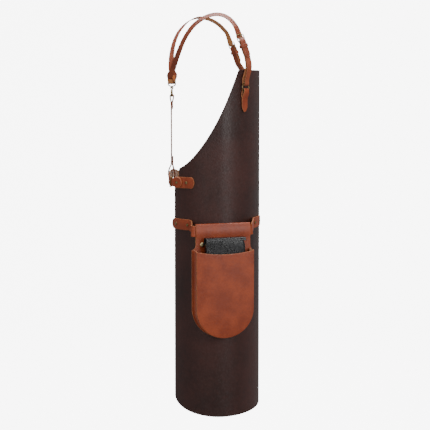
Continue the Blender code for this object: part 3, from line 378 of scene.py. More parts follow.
# Antique brass: olive gold on the high spots and brown in the hollows.
BRASS = metal("antique_brass", "#a8946a", "#5c4a2e", 0.30)
# The two pocket studs are polished pale brass, which reflects the white room as cream.
PALE_BRASS = metal("polished_pale_brass", "#f2e6bc", "#c9b684", 0.22, 8.0, 0.02)


def dome(radius, rise, height, count=8):
    """The profile of a flattened dome: an ellipse from the pole out to the radius."""
    a = np.linspace(0.0, pi / 2, count)
    return [(radius * np.sin(x), height + rise * np.cos(x)) for x in a]


def rivet(name, at, axis, stack, node_name):
    """A rivet through a stack of leather whose inner face is the hide's."""
    low = -HIDE_T - 0.0003
    top = low + stack + 0.0006
    profile = dome(0.0042, 0.0016, top + 0.0004) + [
        (0.0042, top), (0.0016, top), (0.0016, low), (0.0038, low), (0.0038, low - 0.0010),
        (0.0, low - 0.0010)]
    piece = turned(name, profile, at, axis, [BRASS])
    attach(piece, "apron")
    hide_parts(node_name)


def on_hide(s, z):
    """The hide's outer point at s and z, and its outward direction."""
    here = wrap(s, z)
    return here, unit(wrap(s, z, 0.01) - here)


def s_at_y(y):
    """Arc length of the hide's point with this Y."""
    return float(np.interp(y, BODY_Y - 1.01 * depth * np.cos(turn), girth))


# ---- Waist tabs and knobs ----
# A cognac bridle leather tab is riveted to each rear edge and sticks out past it. A round
# leather knob turns on a brass post through the tab, and the waist strap hooks on the post.
# Bridle leather: tanned with bark, dyed cognac and waxed, so it is warm, smooth and satin.
# Its cut edges and its flesh side are left undyed and show tan.
COGNAC = [leather("cognac_bridle_leather", "#a34722", "#8a381a", 0.42, 1.4, 0.07, 45.0),
          leather("raw_tan_edge", "#c07a4e", "#9a5735", 0.7, 0.8, 0.08, 12.0),
          leather("tan_flesh_side", "#c98a58", "#a9683c", 0.85, 1.0, 0.12, 25.0, fuzz=0.3)]
# The straps are the same leather with burnished edges: rubbed with wax until they darken.
STRAP = [leather("brown_bridle_strap", "#9c4c2c", "#7e351c", 0.38, 1.2, 0.06, 30.0),
         leather("burnished_edge", "#a8653f", "#7c4227", 0.45, 0.9, 0.04, 12.0),
         leather("natural_flesh_side", "#d08a4c", "#b8733a", 0.8, 1.0, 0.1, 25.0, fuzz=0.3)]
TAB_T, TAB_Z, TAB_W, LAID = 0.0025, -0.4710, 0.0320, 0.0006
ACROSS = np.array([-1.0, -0.93, -0.8, -0.6, -0.3, 0.0, 0.3, 0.6, 0.8, 0.93, 1.0])


def strap(name, path, side, width, thick, finishes, facing, closed=False, rim=0.3, at=0.5):
    """A strap carried along a path: side, made square to the path, is its width direction.
    Its grain is on the side of facing at the station at. width may change along the path."""
    if closed:
        along = np.roll(path, -1, 0) - np.roll(path, 1, 0)
    else:
        along = np.gradient(path, axis=0)
    along = unit(along)
    side = np.broadcast_to(np.asarray(side, float), path.shape)
    side = unit(side - (side * along).sum(-1, keepdims=True) * along)
    normal = np.cross(side, along)
    normal = normal * (1.0 if normal[int(at * (len(path) - 1))] @ np.asarray(facing) > 0 else -1.0)
    reach = np.broadcast_to(np.asarray(width, float), len(path))[:, None, None] / 2 - rim * thick
    mid = path[:, None] + side[:, None] * np.maximum(reach, 0.0002) * ACROSS[None, :, None]
    return skin(name, mid, normal[:, None], thick, finishes, closed, rim)


def tipped(path, width, start=0.0, end=0.0):
    """The width along a path whose ends are rounded over these lengths."""
    run = np.concatenate([[0], np.cumsum(np.linalg.norm(np.diff(path, axis=0), axis=1))])
    w = np.full(len(path), width)
    for gap, tip in ((run, start), (run[-1] - run, end)):
        if tip:
            w = w * np.sqrt(np.clip(1.0 - np.clip(1.0 - gap / tip, 0.0, 1.0) ** 2, 0.012, 1.0))
    return w


def stations(count, fine=0.0, extra=14):
    """Stations from 0 to 1, closer together over the share fine at each end."""
    even = np.linspace(0.0, 1.0, count)
    if not fine:
        return even
    close = fine * (1.0 - np.cos(np.linspace(0.0, pi / 2, extra)))
    return np.unique(np.concatenate([close, 1.0 - close, even[(even > fine) & (even < 1.0 - fine)]]))


knobs = {}
for name, sign in (("right", 1.0), ("left", -1.0)):
    s_rivet = s_at_y(0.0805)
    seat = LAID + TAB_T / 2
    laid = [wrap(sign * s, TAB_Z, seat) for s in np.linspace(s_rivet - 0.0245, s_rivet + 0.005, 6)]
    bend_at = wrap(sign * s_rivet, TAB_Z, seat)
    back_way = np.array([sign * 0.45, 0.893, 0.0])
    free = [bend_at + back_way * d for d in (0.012, 0.021, 0.030, 0.0435)]
    path = smooth_path(laid + free, stations(40, 0.22))
    out = np.array([-sign * 0.893, 0.45, 0.0])
    tab = strap("waist_tab_" + name, path, (0, 0, 1), tipped(path, TAB_W, 0.009, 0.014), TAB_T, COGNAC, out)
    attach(tab, "apron")
    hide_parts("side_tab_" + name)
    rivet("waist_rivet_" + name, *on_hide(sign * s_rivet, TAB_Z), HIDE_T + LAID + TAB_T,
          "side_tab_rivet_" + name)
    knob = bend_at + back_way * 0.030
    knobs[name] = knob, out, back_way
    face = TAB_T / 2 + 0.0003
    disc = turned("waist_knob_" + name, [
        (0.0, face + 0.0043), (0.0100, face + 0.0045), (0.0118, face + 0.0042), (0.0124, face + 0.0046),
        (0.0140, face + 0.0044), (0.0153, face + 0.0036), (0.0160, face + 0.0024), (0.0160, face + 0.0014),
        (0.0152, face + 0.0003), (0.0146, face), (0.0, face)], knob, out, COGNAC,
        [0, 0, 0, 0, 0, 1, 1, 1, 2, 2], 56)
    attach(disc, "knob_" + name)
    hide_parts("knob_disc_" + name)
    cap = face + 0.0048
    inner = -(TAB_T / 2 + LAID + 0.0030 + 0.0003)
    post = turned("waist_post_" + name, dome(0.0040, 0.0014, cap + 0.0003) + [
        (0.0040, cap), (0.0018, cap), (0.0018, inner), (0.0050, inner), (0.0050, inner - 0.0009),
        (0.0, inner - 0.0010)], knob, out, [BRASS])
    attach(post, "knob_" + name)
    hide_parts("knob_post_" + name)

# ---- Waist strap ----
# A brown strap across the wearer's back from knob to knob. Near each end, a brass wire loop
# holds it flat.
WAIST_T, WAIST_W = 0.0030, 0.0250
runs = []
for name, sign in (("right", 1.0), ("left", -1.0)):
    knob, out, back_way = knobs[name]
    under = knob - out * (TAB_T / 2 + LAID + WAIST_T / 2)
    runs.append([under - back_way * 0.0120, under, under + back_way * 0.009, under + back_way * 0.016,
                 under + back_way * 0.023, np.array([-sign * 0.1020, 0.1360, -0.4660]),
                 np.array([-sign * 0.0600, 0.1402, -0.4595])])
waist_points = runs[0] + [np.array([0.0, 0.1405, -0.4565])] + runs[1][::-1]
waist = smooth_path(waist_points, stations(90, 0.035))
waist_strap = strap("back_waist_strap", waist, (0, 0, 1), tipped(waist, WAIST_W, 0.007, 0.007), WAIST_T,
                    STRAP, (0.0, 1.0, 0.0))
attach(waist_strap, "apron")
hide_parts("waist_strap")


def wire(name, path, radius, plane, finishes, closed=False, sides=14):
    """A round wire along a path that lies in a plane with this normal: a circle carried along
    it. Open ends are rounded off as half spheres."""
    path = np.asarray(path, float)
    if closed:
        path = np.vstack([path, path[:1]])
        along = np.roll(path[:-1], -1, 0) - np.roll(path[:-1], 1, 0)
        along = unit(np.vstack([along, along[:1]]))
        r = np.full(len(path), radius)
    else:
        along = unit(np.gradient(path, axis=0))
        a = np.linspace(0.0, pi / 2, 6)[:-1]
        first = path[0] - along[0] * (radius * np.cos(a))[:, None]
        last = path[-1] + along[-1] * (radius * np.cos(a[::-1]))[:, None]
        r = np.concatenate([radius * np.sin(a), np.full(len(path), radius), radius * np.sin(a[::-1])])
        along = np.vstack([np.tile(along[:1], (len(a), 1)), along, np.tile(along[-1:], (len(a), 1))])
        path = np.vstack([first, path, last])
    plane = np.asarray(plane, float)
    side = unit(np.cross(along, plane))
    up = np.cross(side, along)
    t = np.linspace(0.0, 2 * pi, sides + 1)[None, :, None]
    ring = path[:, None] + r[:, None, None] * (np.cos(t) * side[:, None] + np.sin(t) * up[:, None])
    return surface(name, ring.reshape(-1, 3), quads(len(path), sides + 1), finishes)


def rounded_loop(half_x, half_y, corner, steps=6):
    """A rectangle with round corners, as points in its plane."""
    a = np.linspace(0.0, pi / 2, steps)
    return np.vstack([np.stack([sx * (half_x - corner) + corner * np.cos(a + k * pi / 2),
                                sy * (half_y - corner) + corner * np.sin(a + k * pi / 2)], -1)
                      for k, (sx, sy) in enumerate([(1, 1), (-1, 1), (-1, -1), (1, -1)])])


waist_even = smooth_path(waist_points, np.linspace(0, 1, 61))
for name, k in (("right", 7), ("left", 53)):
    along = unit(waist_even[k + 1] - waist_even[k - 1])
    side = unit(np.cross(along, (0, 0, 1)))
    up = np.cross(side, along)
    flat = rounded_loop(0.0125 + 0.0018, 0.0015 + 0.0018, 0.0016)
    loop = waist_even[k] + flat[:, :1] * up + flat[:, 1:] * side
    piece = wire("waist_wire_loop_" + name, loop, 0.0013, along, [BRASS], True)
    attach(piece, "apron")
    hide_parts("waist_loop_" + name)

# ---- Carrier belt ----
# A short cognac belt over the right hip. Two rivets hold each end to the hide, and between
# them it stands off the hide and carries the holster.
POCKET_TURN = radians(21.0)
POCKET_XY = np.array([-0.1739, -0.0200])
BELT_Z, DIP_Z, BELT_W, BELT_T = -0.5905, -0.6018, 0.031, 0.0030
n_out = np.array([-np.cos(POCKET_TURN), -np.sin(POCKET_TURN), 0.0])
e_u = np.array([np.sin(POCKET_TURN), -np.cos(POCKET_TURN), 0.0])


def holster(u, n, z):
    """A point in the holster's own directions: u along it, n out of it, z up."""
    u, n, z = np.broadcast_arrays(np.asarray(u, float), n, z)
    flat = u[..., None] * e_u + n[..., None] * n_out
    return flat + np.stack([np.full(z.shape, POCKET_XY[0]), np.full(z.shape, POCKET_XY[1]), z], -1)


belt_n = -(0.0004 + BELT_T / 2)
seat = LAID + BELT_T / 2
rear_s, fore_s = (s_at_y(0.1120), s_at_y(0.0770)), (s_at_y(-0.1065), s_at_y(-0.1170))
belt_rear = [wrap(s, BELT_Z, seat) for s in np.linspace(S_END + 0.008, s_at_y(0.0720), 9)]
belt_mid = [holster(u, belt_n, DIP_Z) for u in np.linspace(-0.083, 0.088, 9)]
belt_fore = [wrap(s, BELT_Z, seat) for s in np.linspace(fore_s[0] + 0.010, fore_s[1] - 0.020, 9)]
turn_in = [(-0.1600, 0.0665, -0.5935), (-0.1780, 0.0630, -0.5975), (-0.1945, 0.0625, -0.6000)]
turn_out = [(-0.1335, -0.1030, -0.5985), (-0.1165, -0.1042, -0.5955), (-0.0980, -0.1050, -0.5925)]
belt_path = smooth_path(belt_rear + turn_in + belt_mid + turn_out + belt_fore, stations(150, 0.045))
belt = strap("hip_belt", belt_path, (0, 0, 1), tipped(belt_path, BELT_W, 0.0135, 0.0135), BELT_T, COGNAC,
             n_out, rim=0.2)
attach(belt, "apron")
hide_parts("carrier_belt")
for k, s in enumerate((*rear_s, *fore_s)):
    rivet("hip_belt_rivet_%d" % (k + 1), *on_hide(s, BELT_Z), HIDE_T + LAID + BELT_T,
          "belt_rivet_%d" % (k + 1))

# ---- Holster back ----
# One piece of cognac leather: behind the belt, folded over it, and down the front, where it widens into the
# pocket's round back.
T = 0.0030
HINGE_Z, FOLD_TOP_Z = -0.6200, -0.5815
NECK_U, NECK_HALF, BACK_HALF, FRONT_HALF = 0.0045, 0.0790, 0.0870, 0.0830
MOUTH_Z, ROUND_Z, DEPTH = -0.6550, -0.8180, 0.040
RETURN_LOW_Z, BODY_Z = -0.6520, -0.6600
SWELL, SWELL_LOW_Z = 0.0016, -0.6260
FLARE_TOP_Z, FLARE_DROP = -0.6360, 0.0180
ROLL = 0.72                                  # the fold's roll, height over half depth
back_n = belt_n - BELT_T / 2 - 0.0004 - T / 2
front_n = T / 2
mid_n, arc_r = (front_n + back_n) / 2, (front_n - back_n) / 2
arc_z = FOLD_TOP_Z - T / 2 - arc_r * ROLL
over = np.linspace(pi, 0.0, 15)
fold = [(back_n, z) for z in np.linspace(RETURN_LOW_Z, arc_z, 12)[:-1]]
fold += [(mid_n + arc_r * np.cos(a), arc_z + arc_r * ROLL * np.sin(a)) for a in over]
swell = np.linspace(arc_z, SWELL_LOW_Z, 16)[1:]
fold += [(front_n + SWELL * np.sin(pi * (arc_z - z) / (arc_z - SWELL_LOW_Z)) ** 2, z) for z in swell]
fold += [(front_n, z) for z in np.linspace(SWELL_LOW_Z, BODY_Z, 14)[1:]]
fold += [(front_n, z) for z in np.linspace(BODY_Z, ROUND_Z, 12)[1:]]
fold += [(front_n, ROUND_Z - BACK_HALF * np.sin(a)) for a in np.linspace(0.0, pi / 2 - 0.012, 26)[1:]]
fold = np.array(fold)
rank = np.arange(len(fold))
is_back = rank < 12
z = fold[:, 1]
# The neck sits a little forward. Each side flares out to the pocket in a quarter-round hollow.
flare_f = np.clip((FLARE_TOP_Z - z) / FLARE_DROP, 0.0, 1.0)
flare = np.where(is_back, 0.0, 1.0 - np.sqrt(1.0 - flare_f**2))
middle = NECK_U * (1.0 - flare)
half = NECK_HALF + (BACK_HALF - NECK_HALF) * flare
half = np.where(z < ROUND_Z, np.sqrt(np.clip(BACK_HALF**2 - (ROUND_Z - z) ** 2, 1e-7, None)), half)
U = np.concatenate([[-1.0, -0.985], np.linspace(-0.94, 0.94, 19), [0.985, 1.0]])
back_mid = holster(middle[:, None] + half[:, None] * U, fold[:, :1], z[:, None])
slope = np.gradient(fold, axis=0)
turn_out_n = unit(np.stack([slope[:, 1], -slope[:, 0]], -1)) * -1.0
back_out = (turn_out_n[:, :1] * n_out + turn_out_n[:, 1:] * np.array([0, 0, 1.0]))[:, None]
holster_back = skin("holster_back", back_mid, np.broadcast_to(back_out, back_mid.shape), T, COGNAC, rim=0.15)
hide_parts("hanger_loop", "hanger_return", "pocket_back")
tuple(holster(0.0, 0.0, HINGE_Z + 0.006))
tuple(holster(0.0, 0.0, HINGE_Z - 0.006))
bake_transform(holster_back)

# ---- Holster front ----
# The front is cut with a dipped mouth and a round foot, and swells a little over its load.
cos_u = np.concatenate([[-pi / 2], np.linspace(-pi / 2 + 0.06, pi / 2 - 0.06, 45), [pi / 2]])
front_u = (FRONT_HALF - 0.0004) * np.sin(cos_u)
mouth_z = MOUTH_Z - 0.0090 * (1.0 - (front_u / FRONT_HALF) ** 2)
foot_z = ROUND_Z - np.sqrt(np.clip((FRONT_HALF - 0.0004) ** 2 - front_u**2, 0.0, None))
fall = np.concatenate([[0.0, 0.008], np.linspace(0.03, 0.97, 34), [0.992, 1.0]])
front_z = mouth_z[:, None] * (1 - fall) + foot_z[:, None] * fall
from_middle = np.hypot(front_u[:, None], np.minimum(front_z - ROUND_Z, 0.0))
edge_in = np.clip((FRONT_HALF - from_middle) / FRONT_HALF, 0, 1)
crown = 0.0030 * (1.0 - (1.0 - edge_in) ** 3) * np.ones_like(front_z)
front_mid = holster(front_u[:, None], DEPTH - T / 2 + crown, front_z)
front_out = np.cross(np.gradient(front_mid, axis=0), np.gradient(front_mid, axis=1))
front_out = front_out * np.sign((front_out @ n_out))[..., None]
holster_front = skin("holster_front", front_mid, front_out, T, COGNAC, rim=0.15)
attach(holster_front, "pocket")
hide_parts("pocket_front")

# ---- Holster gusset ----
# A band of softer cognac leather joins front to back. It is folded along its middle, so
# two ridges and a hollow run round the pocket.
GUSSET_T = 0.0025
wall_r = FRONT_HALF - GUSSET_T / 2 - 0.0004
wall = [(-wall_r, z) for z in np.linspace(MOUTH_Z + 0.0005, ROUND_Z, 30)]
wall += [(wall_r * np.sin(a), ROUND_Z - wall_r * np.cos(a)) for a in np.linspace(-pi / 2, pi / 2, 61)[1:-1]]
wall += [(wall_r, z) for z in np.linspace(ROUND_Z, MOUTH_Z + 0.0005, 30)]
wall = np.array(wall)
heading = unit(np.gradient(wall, axis=0))
outward = np.stack([heading[:, 1], -heading[:, 0]], -1)
v = np.concatenate([[-1.0, -0.96], np.linspace(-0.88, 0.88, 15), [0.96, 1.0]])
pleat = 0.0012 * np.cos(2 * pi * v) - 0.0030 * np.exp(-(v / 0.17) ** 2)
gusset_n = (DEPTH + v * (DEPTH - 2 * T - 0.0008)) / 2
spread = wall[:, None] + outward[:, None] * pleat[None, :, None]
gusset_mid = holster(spread[..., 0], gusset_n[None], spread[..., 1])
gusset_out = outward[:, :1] * e_u + outward[:, 1:] * np.array([0, 0, 1.0])
gusset = skin("holster_gusset", gusset_mid, np.broadcast_to(gusset_out[:, None], gusset_mid.shape), GUSSET_T,
              COGNAC, rim=0.15)
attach(gusset, "pocket")
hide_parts("pocket_gusset")

# ---- Holster studs ----
# Two large domed studs clamp the fold's back layer to the pocket back.
stack = T - (back_n - T / 2)
for name, u in (("rear", -0.0570), ("front", 0.0570)):
    stud = turned("holster_stud_" + name, dome(0.0066, 0.0026, 0.0006, 10) + [
        (0.0070, 0.0005), (0.0070, 0.0003), (0.0018, 0.0003), (0.0018, -stack - 0.0003),
        (0.0040, -stack - 0.0003), (0.0040, -stack - 0.0011), (0.0, -stack - 0.0012)],
        holster(u, T, -0.6400), n_out, [PALE_BRASS], steps=48)
    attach(stud, "pocket")
    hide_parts("hanger_stud_" + name)

# ---- Case in the holster ----
# A flat case of soft black calf over a stiff lining: a rounded block, a band over its top,
# and a flap whose curved edge crosses the front, with a piped seam along it.
CALF = [leather("glazed_black_calf", "#121215", "#08080a", 0.26, 1.8, 0.10, 30.0),
        leather("black_painted_edge", "#141416", "#0a0a0b", 0.4, 1.0, 0.03, 12.0),
        leather("black_suede_lining", "#1a1a1c", "#101012", 0.85, 1.0, 0.1, 20.0)]
CASE_N, CASE_DEPTH, CASE_HALF, CASE_U = 0.0090, 0.0220, 0.0575, 0.0040
CASE_LOW, CASE_TOP = -0.8000, -0.6225


def soft_block(name, centre, halves, finishes, power=0.24, count=(72, 40)):
    """A block with round edges and slightly crowned faces: a superellipsoid, a sphere whose
    sines and cosines are raised to a small power."""
    a = np.linspace(-pi, pi, count[0] + 1)[:, None]
    b = np.linspace(-pi / 2, pi / 2, count[1] + 1)[None, :]

    def bent(x):
        return np.sign(x) * np.abs(x) ** power

    du = halves[0] * bent(np.cos(b)) * bent(np.cos(a))
    dn = halves[1] * bent(np.cos(b)) * bent(np.sin(a))
    dz = halves[2] * bent(np.sin(b)) * np.ones_like(a)
    grid = holster(centre[0] + du, centre[1] + dn, centre[2] + dz)
    return surface(name, grid.reshape(-1, 3), quads(count[0] + 1, count[1] + 1), finishes)


case = soft_block("black_case", (CASE_U, CASE_N + CASE_DEPTH / 2, (CASE_LOW + CASE_TOP) / 2),
                  (CASE_HALF, CASE_DEPTH / 2, (CASE_TOP - CASE_LOW) / 2), CALF[:1])
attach(case, "insert")
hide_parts("insert_case")
FLAP_T = 0.0018
lift = 0.0006 + FLAP_T / 2
front_face = CASE_N + CASE_DEPTH + lift
band = smooth_path([(CASE_N - lift, -0.6400), (CASE_N - lift, -0.6290), (CASE_N + 0.0020, -0.6220 + lift),
                    (CASE_N + 0.0060, -0.6216 + lift), (CASE_N + CASE_DEPTH - 0.0060, -0.6216 + lift),
                    (CASE_N + CASE_DEPTH - 0.0012, -0.6224 + lift), (front_face, -0.6275)],
                   np.linspace(0, 1, 30))
facing = unit(np.stack([np.gradient(band[:, 1]), -np.gradient(band[:, 0])], -1)) * -1.0
across = np.concatenate([[-1.0, -0.985], np.linspace(-0.94, 0.94, 15), [0.985, 1.0]])
band_mid = holster(CASE_U + CASE_HALF * across[None], band[:, :1], band[:, 1:])
band_out = (facing[:, :1] * n_out + facing[:, 1:] * np.array([0, 0, 1.0]))[:, None]
top_band = skin("case_top_band", band_mid, np.broadcast_to(band_out, band_mid.shape), FLAP_T, CALF)
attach(top_band, "insert")
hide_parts("insert_flap")
flap_z = np.concatenate([[-0.6290, -0.6296], np.linspace(-0.6310, -0.6735, 24), [-0.6745]])
drop = np.clip((-0.6290 - flap_z) / 0.0455, 0.0, 1.0)
flap_right = -0.0130 + 0.0460 * (1.0 - np.cos(drop * pi / 2)) ** 0.8
share = (across[None] + 1.0) / 2
flap_u = -CASE_HALF + (flap_right[:, None] + CASE_HALF) * share
flap_mid = holster(CASE_U + flap_u, front_face + 0.0002, flap_z[:, None])
flap = skin("case_flap", flap_mid, np.broadcast_to(n_out, flap_mid.shape), FLAP_T, CALF)
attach(flap, "insert")
seam_path = holster(CASE_U + flap_right - 0.0014, front_face + FLAP_T / 2 + 0.0002, flap_z)
seam = wire("case_piping", seam_path, 0.0007, n_out, CALF[1:2])
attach(seam, "insert")

# ---- Bib rings and tabs ----
# Each bib corner has a brass ring. A pointed cognac tab runs through the ring, with its tail
# stitched down behind and its point showing below.
RING_R, RING_WIRE, RING_Z, RING_OUT = 0.0130, 0.0016, -0.2030, 0.0072
BIB_T = 0.0020
s_tab = s_at_y(-0.0790)
rings = {}
for name, sign in (("right", 1.0), ("left", -1.0)):
    base, out = on_hide(sign * s_tab, RING_Z)
    side = np.array([out[1], -out[0], 0.0])
    centre = base + out * RING_OUT
    rings[name] = base, out, side, centre
    a = np.linspace(0.0, 2 * pi, 65)[:-1, None]
    hoop = centre + RING_R * (np.cos(a) * side + np.sin(a) * np.array([0, 0, 1.0]))
    ring = wire("bib_hoop_" + name, hoop, RING_WIRE, out, [BRASS], True)
    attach(ring, "ring_" + name)
    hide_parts("bib_ring_" + name)
    near, far = LAID + BIB_T / 2, RING_OUT + 0.0029 + BIB_T / 2
    top = RING_Z - 0.0038
    mid, rad = (near + far) / 2, (far - near) / 2
    turns = [(near, -0.2560), (near, -0.2400), (near, -0.2250), (near, -0.2130)]
    turns += [(mid - rad * np.cos(x), top - 0.0030 + 0.0030 * np.sin(x)) for x in np.linspace(0, pi, 9)]
    turns += [(far, -0.2120), (far - 0.0004, -0.2185), (far - 0.0040, -0.2270),
              (near + BIB_T + 0.0004, -0.2340), (near + BIB_T + 0.0003, -0.2400),
              (near + BIB_T + 0.0003, -0.2560), (near + BIB_T + 0.0003, -0.2718)]
    turns = smooth_path(turns, stations(90, 0.10))
    path = base + out * turns[:, :1] + np.array([0, 0, 1.0]) * (turns[:, 1:] - RING_Z)
    width = np.interp(turns[:, 1], [-0.2718, -0.2700, -0.2600, -0.2240, -0.2160],
                      [0.002, 0.009, 0.022, 0.023, 0.019])
    width = np.where(np.arange(len(path)) < 24, np.minimum(width, 0.0190), width)
    tab = strap("bib_tab_" + name + "_leather", path, side, width, BIB_T, COGNAC, out, at=0.9)
    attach(tab, "apron")
    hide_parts("bib_tab_" + name)

# ---- Bib straps ----
# On each side a doubled chest strap joins the bib ring to a heel bar buckle. The shoulder
# strap comes down through the buckle, its tail lies on the chest strap under a keeper, and
# its other end loops round the hook at the nape.
STRAP_W, STRAP_T, CHEST_W, CHEST_T = 0.019, 0.0024, 0.0170, 0.0022
BAR_R, PRONG_R, HEEL, FAR = 0.0014, 0.0011, -0.0095, 0.0100
# The snap hook's bow: its bar lies across the back, turned towards front and back.
HOOK_Y, BOW_Z, HOOK_LOW_Z, BOW_R = 0.1390, -0.1865, -0.2290, 0.0018
BOW_AT = np.array([0.0, HOOK_Y, BOW_Z])
BOW_BAR, BOW_CROSS = np.array([0.5, 0.866, 0.0]), np.array([0.866, -0.5, 0.0])
loop_r = BAR_R + 0.0003 + CHEST_T / 2


def bib_strap(name, buckle, down, outward, over, over_side, chest_mid, sign):
    """One side's straps, buckle and keeper. over: the shoulder strap from buckle to nape."""
    down = unit(np.asarray(down, float))
    outward = np.asarray(outward, float)
    outward = unit(outward - down * (outward @ down))
    side = np.cross(down, outward)
    buckle = np.asarray(buckle)
    base, ring_out, ring_side, ring_centre = rings[name]
    ring_side = ring_side * np.sign(ring_side @ side)

    def at(n, up, w=0.0):
        return buckle + outward * n - down * up + side * w

    half_w = STRAP_W / 2 + 0.0008 + BAR_R
    flat = rounded_loop(half_w, (FAR - HEEL) / 2, 0.0034)
    bars = buckle + flat[:, :1] * side - down * (flat[:, 1:] + (FAR + HEEL) / 2)
    frame_wire = wire("buckle_" + name, bars, BAR_R, outward, [BRASS], True)
    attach(frame_wire, "apron")
    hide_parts("buckle_frame_" + name)
    curl = BAR_R + 0.0003 + PRONG_R
    a = np.linspace(radians(-150), radians(90), 22)
    tongue = [(curl * np.sin(x), -curl * np.cos(x)) for x in a]
    tongue = [(n, up) for n, up in tongue] + [(curl, u) for u in (0.007, 0.014, 0.0212)]
    tongue_path = np.array([at(n, HEEL + up) for n, up in tongue])
    prong = wire("buckle_tongue_" + name, tongue_path, PRONG_R, side, [BRASS])
    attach(prong, "prong_" + name)
    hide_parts("buckle_prong_" + name)

    tail_n = loop_r + CHEST_T / 2 + LAID + STRAP_T / 2
    behind = -(BAR_R + 0.0003 + STRAP_T / 2)
    head = [at(tail_n, HEEL - 0.048), at(tail_n, HEEL - 0.034), at(tail_n, HEEL - 0.024),
            at(tail_n, HEEL - 0.012), at(tail_n, HEEL - 0.0015), at(tail_n * 0.62, HEEL + 0.0055),
            at(behind * 0.45, HEEL + 0.0115), at(behind, HEEL + 0.0172), at(behind, FAR + 0.006)]
    # At the nape the right strap goes under the bow's bar, and the left one laps over it.
    if sign > 0:
        bend, down_in = BOW_R + LAID + STRAP_T / 2, [(-0.0105, 0.0150), (-0.0050, 0.0060)]
        up_out = [(0.0041, 0.0060), (0.0048, 0.0120), (0.0056, 0.0175)]
    else:
        bend, down_in = BOW_R + LAID + STRAP_T * 1.5 + 0.0008, [(-0.0130, 0.0180), (-0.0086, 0.0075)]
        up_out = [(0.0078, 0.0030), (0.0092, 0.0065)]
    arc = [(-bend * np.cos(x), -bend * np.sin(x)) for x in np.linspace(0, pi, 9)]
    nape = [BOW_AT + BOW_CROSS * (sign * c) + np.array([0.0, 0.0, up]) for c, up in down_in + arc + up_out]
    knots = np.array(head + [np.array(p) for p in over] + [np.array(p) for p in nape])
    main = smooth_path(knots, stations(230, 0.035))
    sides = [side * sign] * len(head) + list(over_side) + [-sign * BOW_BAR] * len(nape)
    run = np.concatenate([[0], np.cumsum(np.linalg.norm(np.diff(knots, axis=0), axis=1))])
    step = np.concatenate([[0], np.cumsum(np.linalg.norm(np.diff(main, axis=0), axis=1))])
    step = step / step[-1] * run[-1]
    sides = np.stack([np.interp(step, run, np.array(sides, float)[:, k]) for k in range(3)], axis=1)
    piece = strap("shoulder_strap_leather_" + name, main, sides, tipped(main, STRAP_W, 0.0095),
                  STRAP_T, STRAP, outward, at=0.05)
    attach(piece, "apron")
    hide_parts("shoulder_strap_" + name)

    top = at(0.0, HEEL)
    up_z = np.array([0.0, 0.0, 1.0])
    ring_top = ring_centre + up_z * RING_R * 0.66
    f = np.linspace(0.0, 1.0, 60)[:, None]
    centre = smooth_path([top, at(0.0, HEEL - 0.016), at(0.0, HEEL - 0.032), at(0.0, HEEL - 0.048),
                          *[np.array(p) for p in chest_mid], ring_top + up_z * 0.014, ring_top], f[:, 0])
    ease = np.clip((f - 0.45) / 0.45, 0.0, 1.0)
    ease = ease * ease * (3 - 2 * ease)
    wide = side * (1 - ease) + ring_side * ease
    along = unit(np.gradient(centre, axis=0))
    wide = unit(wide - (wide * along).sum(1)[:, None] * along)
    normal = np.cross(wide, along)
    normal *= np.sign(normal @ outward)[:, None]
    gap = loop_r + (0.0050 - loop_r) * np.clip((f - 0.42) / 0.45, 0.0, 1.0)
    a = np.linspace(0, pi, 13)[1:-1]
    over_bar = [top + outward * loop_r * np.cos(x) - down * loop_r * np.sin(x) for x in a]
    last = gap[-1, 0]
    under_ring = [ring_top - normal[-1] * last * np.cos(x) + along[-1] * last * 0.75 * np.sin(x) for x in a]
    loop = np.vstack([centre - normal * gap, under_ring, (centre + normal * gap)[::-1], over_bar])
    loop_side = np.vstack([wide, np.tile(wide[-1], (11, 1)), wide[::-1], np.tile(wide[0], (11, 1))])
    chest = strap("chest_strap_leather_" + name, loop, loop_side, CHEST_W, CHEST_T, STRAP, -outward,
                  True, at=0.2)
    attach(chest, "apron")
    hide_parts("chest_strap_" + name)

    t = 0.0014
    low_n, high_n = -(loop_r + CHEST_T / 2 + 0.0004) - t / 2, tail_n + STRAP_T / 2 + 0.0004 + t / 2
    flat = rounded_loop(STRAP_W / 2 + 0.0005 + t / 2, (high_n - low_n) / 2, 0.0016)
    ring_mid = at((high_n + low_n) / 2, HEEL - 0.0145)
    band_path = ring_mid + flat[:, :1] * side + flat[:, 1:] * outward
    keeper = strap("keeper_leather_" + name, band_path, down, 0.0085, t, STRAP, side, True, at=0.0)
    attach(keeper, "keeper_band_" + name)
    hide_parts("keeper_" + name)


bib_strap(
    "right", (-0.1165, -0.0690, -0.0665), (-0.126, -0.333, -0.933), (-0.80, -0.60, 0.0),
    [(-0.1110, -0.0555, -0.0360), (-0.1080, -0.0425, -0.0180), (-0.1060, -0.0240, -0.0050),
     (-0.1050, 0.0000, 0.0000), (-0.1010, 0.0285, -0.0060), (-0.0940, 0.0549, -0.0215),
     (-0.0860, 0.0744, -0.0394), (-0.0720, 0.0951, -0.0689), (-0.0560, 0.1110, -0.1011),
     (-0.0400, 0.1240, -0.1300), (-0.0235, 0.1345, -0.1550)],
    [(-0.70, 0.60, -0.20), (-0.75, 0.40, -0.40), (-0.80, 0.20, -0.52),
     (-0.82, 0.00, -0.56), (-0.80, -0.12, -0.58), (-0.76, -0.30, -0.58),
     (-0.72, -0.42, -0.55), (-0.68, -0.52, -0.50), (-0.62, -0.64, -0.42),
     (-0.56, -0.76, -0.28), (-0.52, -0.84, -0.12)],
    [(-0.1275, -0.0920, -0.1480)], 1.0)
